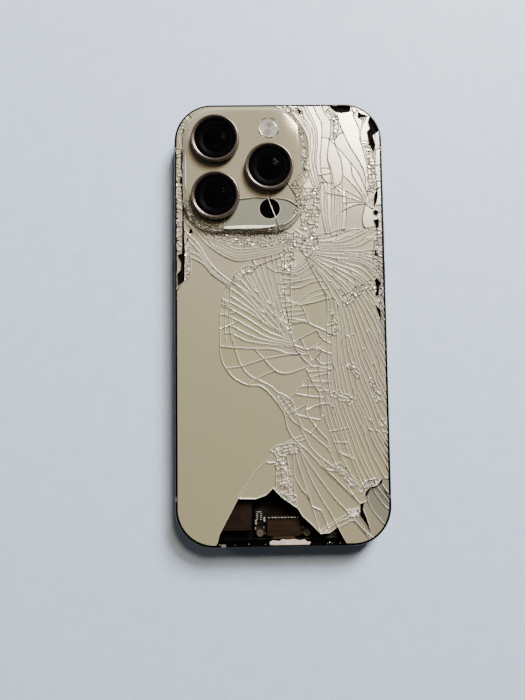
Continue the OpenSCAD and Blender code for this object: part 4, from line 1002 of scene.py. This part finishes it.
def shade(piece, crease):
    """Smooth faces, with a sharp edge wherever two meet at more than crease degrees."""
    mesh = piece.data
    mesh.polygons.foreach_set("use_smooth", [True] * len(mesh.polygons))
    mesh.set_sharp_from_angle(angle=math.radians(crease))


def glass_piece(name, cells, finish):
    """Builds one named piece of broken glass from its shards."""
    verts, faces, marks = mesh = ([], [], [])
    for cell in cells:
        add_shard(mesh, *cell)
    piece = new_piece(name, verts, faces, finish)
    for key, values in zip(("shard_tone", "shard_edge", "crumb", "bared", "grey_and_painted_shade", "rim"), zip(*marks)):
        layer = piece.data.attributes.new(key, "FLOAT", "POINT")
        layer.data.foreach_set("value", values)
    shade(piece, 14)
    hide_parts("rear_glass")
    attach(piece, "phone")


def from_shards(material, key):
    """One of the marks that add_shard leaves on the glass."""
    return add(material, "Attribute", attribute_name=key).outputs["Fac"]


def coated_glass(name, beige, rose, rough, gloss):
    """Glass over a beige coat: cloudy in tone, palest where crushed; edges, cracks and rim carry painted
    highlight and painted shade.
    """
    material = new_finish(name, beige, rough)
    fix_at(material, "Specular IOR Level", 1.0)
    fix_at(material, "IOR", gloss)
    clouds = stretch_range(material, speckle(material, 0.03, 2), 0.4, 0.62)
    body = blend(material, clouds, beige, rose)
    edge = from_shards(material, "shard_edge")
    gravel = stretch_range(material, speckle(material, 0.0008, 3), 0.4, 0.65, 0, 0.75)
    powder = add(material, "Math", {0: from_shards(material, "crumb"), 1: gravel}, operation="MULTIPLY")
    # painted shade: where a shard meets the sheet's outer rim its colour goes near black, and metallic so it
    # gives back only that dark colour
    painted_dark_rim = stretch_range(material, from_shards(material, "rim"), 0.2, 0.45)
    for share, colour in (
            (stretch_range(material, from_shards(material, "shard_tone"), 0, 1, 0, 0.16), (0.28, 0.26, 0.19)),
            # greyed shards: plain grey at the right edge, painted shade at the lower right corner, a greener
            # painted reflection at the plateau's foot
            (stretch_range(material, from_shards(material, "grey_and_painted_shade"), 0, 1, 0, 0.9), (0.225, 0.235, 0.18)),
            (from_shards(material, "bared"), (0.62, 0.47, 0.38)),
            (powder.outputs[0], (0.8, 0.76, 0.62)),
            # pale lips: partly the pale broken glass, partly a painted highlight along every crack
            (stretch_range(material, edge, 0, 0.4, 0, 0.22), (0.84, 0.82, 0.7)),
            # dark line in each crack: partly the black film showing through, partly painted shade between the
            # shards
            (stretch_range(material, edge, 0.66, 0.8, 0, 0.75), (0.1, 0.08, 0.05)),
            (painted_dark_rim, (0.012, 0.01, 0.009))):
        body = blend(material, share, body, colour)
    drive(material, "Base Color", body)
    drive(material, "Metallic", painted_dark_rim)
    drive(material, "Roughness", stretch_range(material, edge, 0, 0.4, rough, 0.42))
    bump(material, speckle(material, 0.00008, 2), 0.000002)
    return material


shard_finish = coated_glass("rear_glass", (0.505, 0.471, 0.262), (0.52, 0.448, 0.288), 0.245, 2.9)
# painted reflection: the plateau is the same glass as the sheet, given a darker base to stand in for the
# darker things its polished face reflects
plateau_finish_painted_dark = coated_glass("plateau_glass", (0.285, 0.256, 0.168), (0.33, 0.288, 0.205), 0.1, 1.6)

points, ends = broken_map()
cells = []
for size, loop, inner_loops in shards_of(points, ends):
    probe = mean(loop)
    if not holds(loop, probe):
        probe = mean(max(zip(loop, loop[1:], loop[2:]), key=lambda corner: area_of(list(corner))))
    if into(probe, glass_half, corner_r) >= 0 and not any(holds(gone, probe) for gone in holes + fallen):
        cells.append((size, loop, inner_loops))

groups = {"plateau_glass": [], "upper_shards": [], "middle_shards": [], "lower_shards": []}
upper_end = 24
middle_end = -20
for cell in cells:
    middle = mean(cell[1])
    if into(middle - plateau_mid, plateau_half, plateau_r) > 0:
        groups["plateau_glass"].append(cell)
    elif middle.y > upper_end:
        groups["upper_shards"].append(cell)
    elif middle.y > middle_end:
        groups["middle_shards"].append(cell)
    else:
        groups["lower_shards"].append(cell)
for name, members in groups.items():
    glass_piece(name, members, plateau_finish_painted_dark if name == "plateau_glass" else shard_finish)

# Loose crumbs and splinters of glass. Tiny chips with sharp corners lie wherever the sheet was
# crushed, a few fell on the frame's lip below the hole, and slivers stand up at the plateau; the
# pale ones along its lower, lower right and left slopes are painted highlights.
chip_verts = []
chip_faces = []


def chip(at, z, size):
    """One irregular splinter with eight facets."""
    first = len(chip_verts)
    turn = dice.uniform(0, math.pi)
    long = dice.uniform(0.7, 1.7)
    for k, (x, y, up) in enumerate(((1, 0, 0), (0, 1, 0), (-1, 0, 0), (0, -1, 0), (0, 0, 1), (0, 0, -1))):
        scale = size * dice.uniform(0.6, 1.2)
        px, py = x * scale * long, y * scale
        chip_verts.append(((at.x + px * math.cos(turn) - py * math.sin(turn)) * MM,
                           (at.y + px * math.sin(turn) + py * math.cos(turn)) * MM,
                           (z + up * scale * 0.5 + dice.uniform(-0.1, 0.1) * size) * MM))
    for k in range(4):
        chip_faces.append((first + k, first + (k + 1) % 4, first + 4))
        chip_faces.append((first + (k + 1) % 4, first + k, first + 5))


chips_per_area = 1.1
kept_clear = [(at, lens_hole_r + 0.9) for at in lens_at] + [(at, window_hole_r + 0.6) for at in window_at]
for line, width in crushed:
    for _ in range(round(length_of(line) * width * chips_per_area)):
        k = dice.randrange(len(line) - 1)
        at = line[k].lerp(line[k + 1], dice.random())
        at += Vector((dice.gauss(0, 0.3), dice.gauss(0, 0.3))) * width
        clear = all((at - centre).length > radius for centre, radius in kept_clear)
        if clear and into(at, glass_half, corner_r) > 0.5 and not any(holds(gone, at) for gone in fallen):
            chip(at, surface(at) + 0.1, abs(dice.gauss(0, 0.1)) + 0.08)
frame_lip = 7.5
for x, y, size in ((-21, -73.7, 0.2), (-20.2, -73.9, 0.12), (-11.5, -73.6, 0.16), (-6.2, -73.8, 0.1),
                   (15, -73.5, 0.2), (15.9, -73.6, 0.14), (14.3, -73.8, 0.1), (18.4, -73.7, 0.12),
                   (-16, -73.9, 0.1)):
    chip(Vector((x, y)), frame_lip, size)


def splinter(width, lift, *path):
    """A long sliver of glass that stands up along a broken edge, steep on one side."""
    line = soft(path, 0.7)
    first = len(chip_verts)
    for i, p in enumerate(line):
        heading = (line[min(i + 1, len(line) - 1)] - line[max(i - 1, 0)]).normalized()
        side = Vector((-heading.y, heading.x))
        swell = 0.35 + 0.65 * math.sin(math.pi * (i + 0.6) / (len(line) + 0.2))
        wide = width * swell * dice.uniform(0.9, 1.1)
        for across, up in ((-0.5, -0.2), (-0.36, 1), (0.1, 0.6), (0.5, -0.2)):
            spot = p + side * across * wide
            z = surface(p) + lift * up if up > 0 else surface(spot) - 0.05
            chip_verts.append((spot.x * MM, spot.y * MM, z * MM))
    for i in range(len(line) - 1):
        for k in range(4):
            n = (k + 1) % 4
            chip_faces.append(tuple(first + i * 4 + v for v in (k, 4 + k, 4 + n, n)))
    chip_faces.append((first, first + 1, first + 2, first + 3))
    last = first + len(line) * 4 - 4
    chip_faces.append((last + 3, last + 2, last + 1, last))


# painted highlight: a pale sliver along the plateau's lower slope stands in for a bright reflection there
splinter(1.5, 0.4, (-18.6, 30.9), (-15, 31), (-9, 31.1), (-4, 31.2), (-1.4, 31.6))
splinter(0.36, 0.14, (-3.9, 41.2), (-3, 38.8), (-2.1, 36.4), (-1.2, 34), (-0.2, 31))
# painted highlight: a pale sliver on the plateau's lower right slope stands in for a soft reflection there
splinter(0.6, 0.2, (0.9, 31.8), (3, 33), (4.8, 34.6), (5.9, 36.2))
splinter(0.3, 0.12, (-12.6, 40.7), (-10, 40.9), (-7, 41))
# painted highlight: a pale sliver along the plateau's left edge stands in for a reflection on its polished
# slope
splinter(0.55, 0.12, (-31.4, 44), (-31.5, 49), (-31.5, 56))
# a heap of crumbs beside the small gap in the lower right corner
heap = Vector((22.6, -64))
for _ in range(46):
    chip(heap + Vector((dice.gauss(0, 1), dice.gauss(0, 0.6))), flat_top + 0.2, dice.uniform(0.2, 0.42))
crumb_glass = two_tone("crumb_glass", (0.66, 0.63, 0.53), (0.9, 0.87, 0.78), 0.0005, 0.12, grain=0.000004)
crumbs = new_piece("glass_crumbs", chip_verts, chip_faces, crumb_glass)
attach(crumbs, "phone")

# Lens rings and cover glasses. Three turned metal rings stand on the plateau, coated taupe and
# polished at the lip, and each holds a flat disc of dark glass.
ring_metal = two_tone("lens_ring", (0.105, 0.085, 0.072), (0.14, 0.115, 0.1), 0.002, 0.27, 0.7)


def turned(name, outline, stands_for, material, crease):
    """A piece turned on a lathe: a closed ring, or a disc if its outline starts at the axis."""
    low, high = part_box(stands_for)
    middle = (low + high) / 2
    sides = 120
    angles = [2 * math.pi * k / sides for k in range(sides)]
    verts = []
    for r, z in outline:
        verts += [(middle.x + r * math.cos(angle), middle.y + r * math.sin(angle), z) for angle in angles]
    pairs = [(i, i + 1) for i in range(len(outline) - 1)]
    is_disc = outline[0][0] == 0
    if not is_disc:
        pairs.append((len(outline) - 1, 0))
    faces = [(i * sides + k, j * sides + k, j * sides + (k + 1) % sides, i * sides + (k + 1) % sides)
             for i, j in pairs for k in range(sides)]
    if is_disc:
        faces.append(tuple(range(len(verts) - 1, len(verts) - sides - 1, -1)))
    piece = new_piece(name, verts, faces, material)
    shade(piece, crease)
    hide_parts(stands_for)
    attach(piece, "phone")


ring_lip = [(-1.14, -0.42), (-1.05, -0.36), (-0.95, -0.34), (-0.89, -0.3), (-0.82, -0.12), (-0.7, -0.03),
            (-0.55, 0), (-0.4, -0.02), (-0.26, -0.08), (-0.15, -0.18), (-0.08, -0.33), (-0.03, -0.6),
            (-0.005, -1.2), (0, -1.8)]
plateau_top = (flat_top + plateau_h) * MM
for name in ("upper", "lower", "right"):
    low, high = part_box("lens_ring_" + name)
    cover_low, cover_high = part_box("lens_cover_" + name)
    r = (high.x - low.x) / 2
    bore = r - 1.17 * MM
    skirt = r - 0.45 * MM
    step = r - 0.9 * MM
    outline = [(bore, cover_low.z), (bore, cover_high.z)]
    outline += [(r + x * MM, high.z + z * MM) for x, z in ring_lip]
    outline += [(r, plateau_top), (skirt, plateau_top), (skirt, low.z), (step, low.z), (step, cover_low.z)]
    turned("ring_" + name, outline, "lens_ring_" + name, ring_metal, 30)
cover_glass = two_tone("lens_cover", (0.001, 0.001, 0.0015), (0.002, 0.002, 0.003), 0.003, 0.04)
fix_at(cover_glass, "Specular IOR Level", 0.1)
fix_at(cover_glass, "Alpha", 0.6)
dress(cover_glass, "lens_cover_upper", "lens_cover_lower", "lens_cover_right")

# Flash window and range sensor window. The flash looks out through a clear disc with fine
# rings moulded in, and the sensor through a black one that has cracked with the glass.
flash_low, flash_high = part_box("flash_lens")
flash_r = (flash_high.x - flash_low.x) / 2
flash_top = flash_high.z
flash_turn = [(0, flash_top - 0.22 * MM)]
for k in range(1, 8):
    flash_turn += [(flash_r * (k - 0.35) / 8.6, flash_top - (0.06 + 0.02 * (k % 2)) * MM),
                   (flash_r * (k + 0.1) / 8.6, flash_top - (0.3 - 0.02 * k) * MM)]
flash_turn += [(flash_r * 0.86, flash_top - 0.16 * MM), (flash_r * 0.9, flash_top - 0.03 * MM),
               (flash_r * 0.965, flash_top), (flash_r, flash_top - 0.08 * MM), (flash_r, flash_low.z)]
flash_glass = two_tone("flash_glass", (0.34, 0.33, 0.28), (0.5, 0.49, 0.44), 0.0012, 0.08, coat=1.0)
turned("flash_window", flash_turn, "flash_lens", flash_glass, 25)
sensor_glass = two_tone("sensor_glass", (0.001, 0.001, 0.0012), (0.002, 0.002, 0.002), 0.003, 0.05)
fix_at(sensor_glass, "Specular IOR Level", 0.15)
dress(sensor_glass, "range_sensor_window")

# Table, light and view. The phone lies on a pale table under two soft lights from the upper
# right, with a weak strip at the left and one in front, before a pale backdrop.
scene = bpy.context.scene
table_half = 3
table_pale = (0.575, 0.725, 0.96)
table_top = new_finish("table_top", table_pale, 0.6)
mottle = stretch_range(table_top, speckle(table_top, 0.006, 6, 0.6), 0.35, 0.65)
drive(table_top, "Base Color", blend(table_top, mottle, table_pale, (0.625, 0.775, 0.99)))
bump(table_top, speckle(table_top, 0.0012, 4), 0.00008)
corners = [(x * table_half, y * table_half, 0) for x, y in ((-1, -1), (1, -1), (1, 1), (-1, 1))]
table = new_piece("table", corners, [(0, 1, 2, 3)], table_top)


def soft_light(name, at, aim, width, height, power, colour):
    """A rectangular light that shines from one point towards another."""
    lamp = bpy.data.lights.new(name, "AREA")
    lamp.shape = "RECTANGLE"
    lamp.size = width
    lamp.size_y = height
    lamp.energy = power
    lamp.color = colour
    holder = bpy.data.objects.new(name, lamp)
    holder.location = at
    holder.rotation_euler = (Vector(aim) - Vector(at)).to_track_quat("-Z", "Y").to_euler()
    scene.collection.objects.link(holder)


soft_light("window_light", (0.3, 0.76, 1.08), (0.01, 0.03, 0), 0.25, 0.25, 9.5, (1.0, 0.81, 0.6))
soft_light("low_light", (0.49, 0.95, 0.75), (0, 0, 0), 0.42, 0.42, 42, (0.98, 0.98, 0.98))
soft_light("left_strip", (-0.55, 0.16, 0.24), (0, 0.05, 0), 0.05, 0.12, 0.24, (1.0, 0.95, 0.88))
soft_light("front_strip", (-0.04, -0.6, 0.24), (-0.01, 0.03, 0), 0.08, 0.09, 0.15, (1.0, 0.94, 0.86))
world = bpy.data.worlds.new("room")
world.use_nodes = True
room_nodes = world.node_tree.nodes
room_links = world.node_tree.links
room_light = room_nodes["Background"]
room_light.inputs["Color"].default_value = (1.0, 0.93, 0.86, 1)
room_light.inputs["Strength"].default_value = 0.027
backdrop = room_nodes.new("ShaderNodeBackground")
backdrop.inputs["Color"].default_value = (0.62, 0.66, 0.72, 1)
seen = room_nodes.new("ShaderNodeLightPath")
choice = room_nodes.new("ShaderNodeMixShader")
room_links.new(seen.outputs["Is Camera Ray"], choice.inputs["Fac"])
room_links.new(room_light.outputs[0], choice.inputs[1])
room_links.new(backdrop.outputs[0], choice.inputs[2])
room_links.new(choice.outputs[0], room_nodes["World Output"].inputs["Surface"])
scene.world = world

camera_data = bpy.data.cameras.new("camera")
camera_data.lens = 27.05
camera_data.sensor_width = 36
camera = bpy.data.objects.new("camera", camera_data)
camera.matrix_world = (Matrix.Translation((-0.00838, -0.02136, 0.18328)) @ Matrix.Rotation(-0.01273, 4, "Z")
                       @ Matrix.Rotation(-0.0112, 4, "Y") @ Matrix.Rotation(0.06435, 4, "X"))
scene.collection.objects.link(camera)
scene.camera = camera
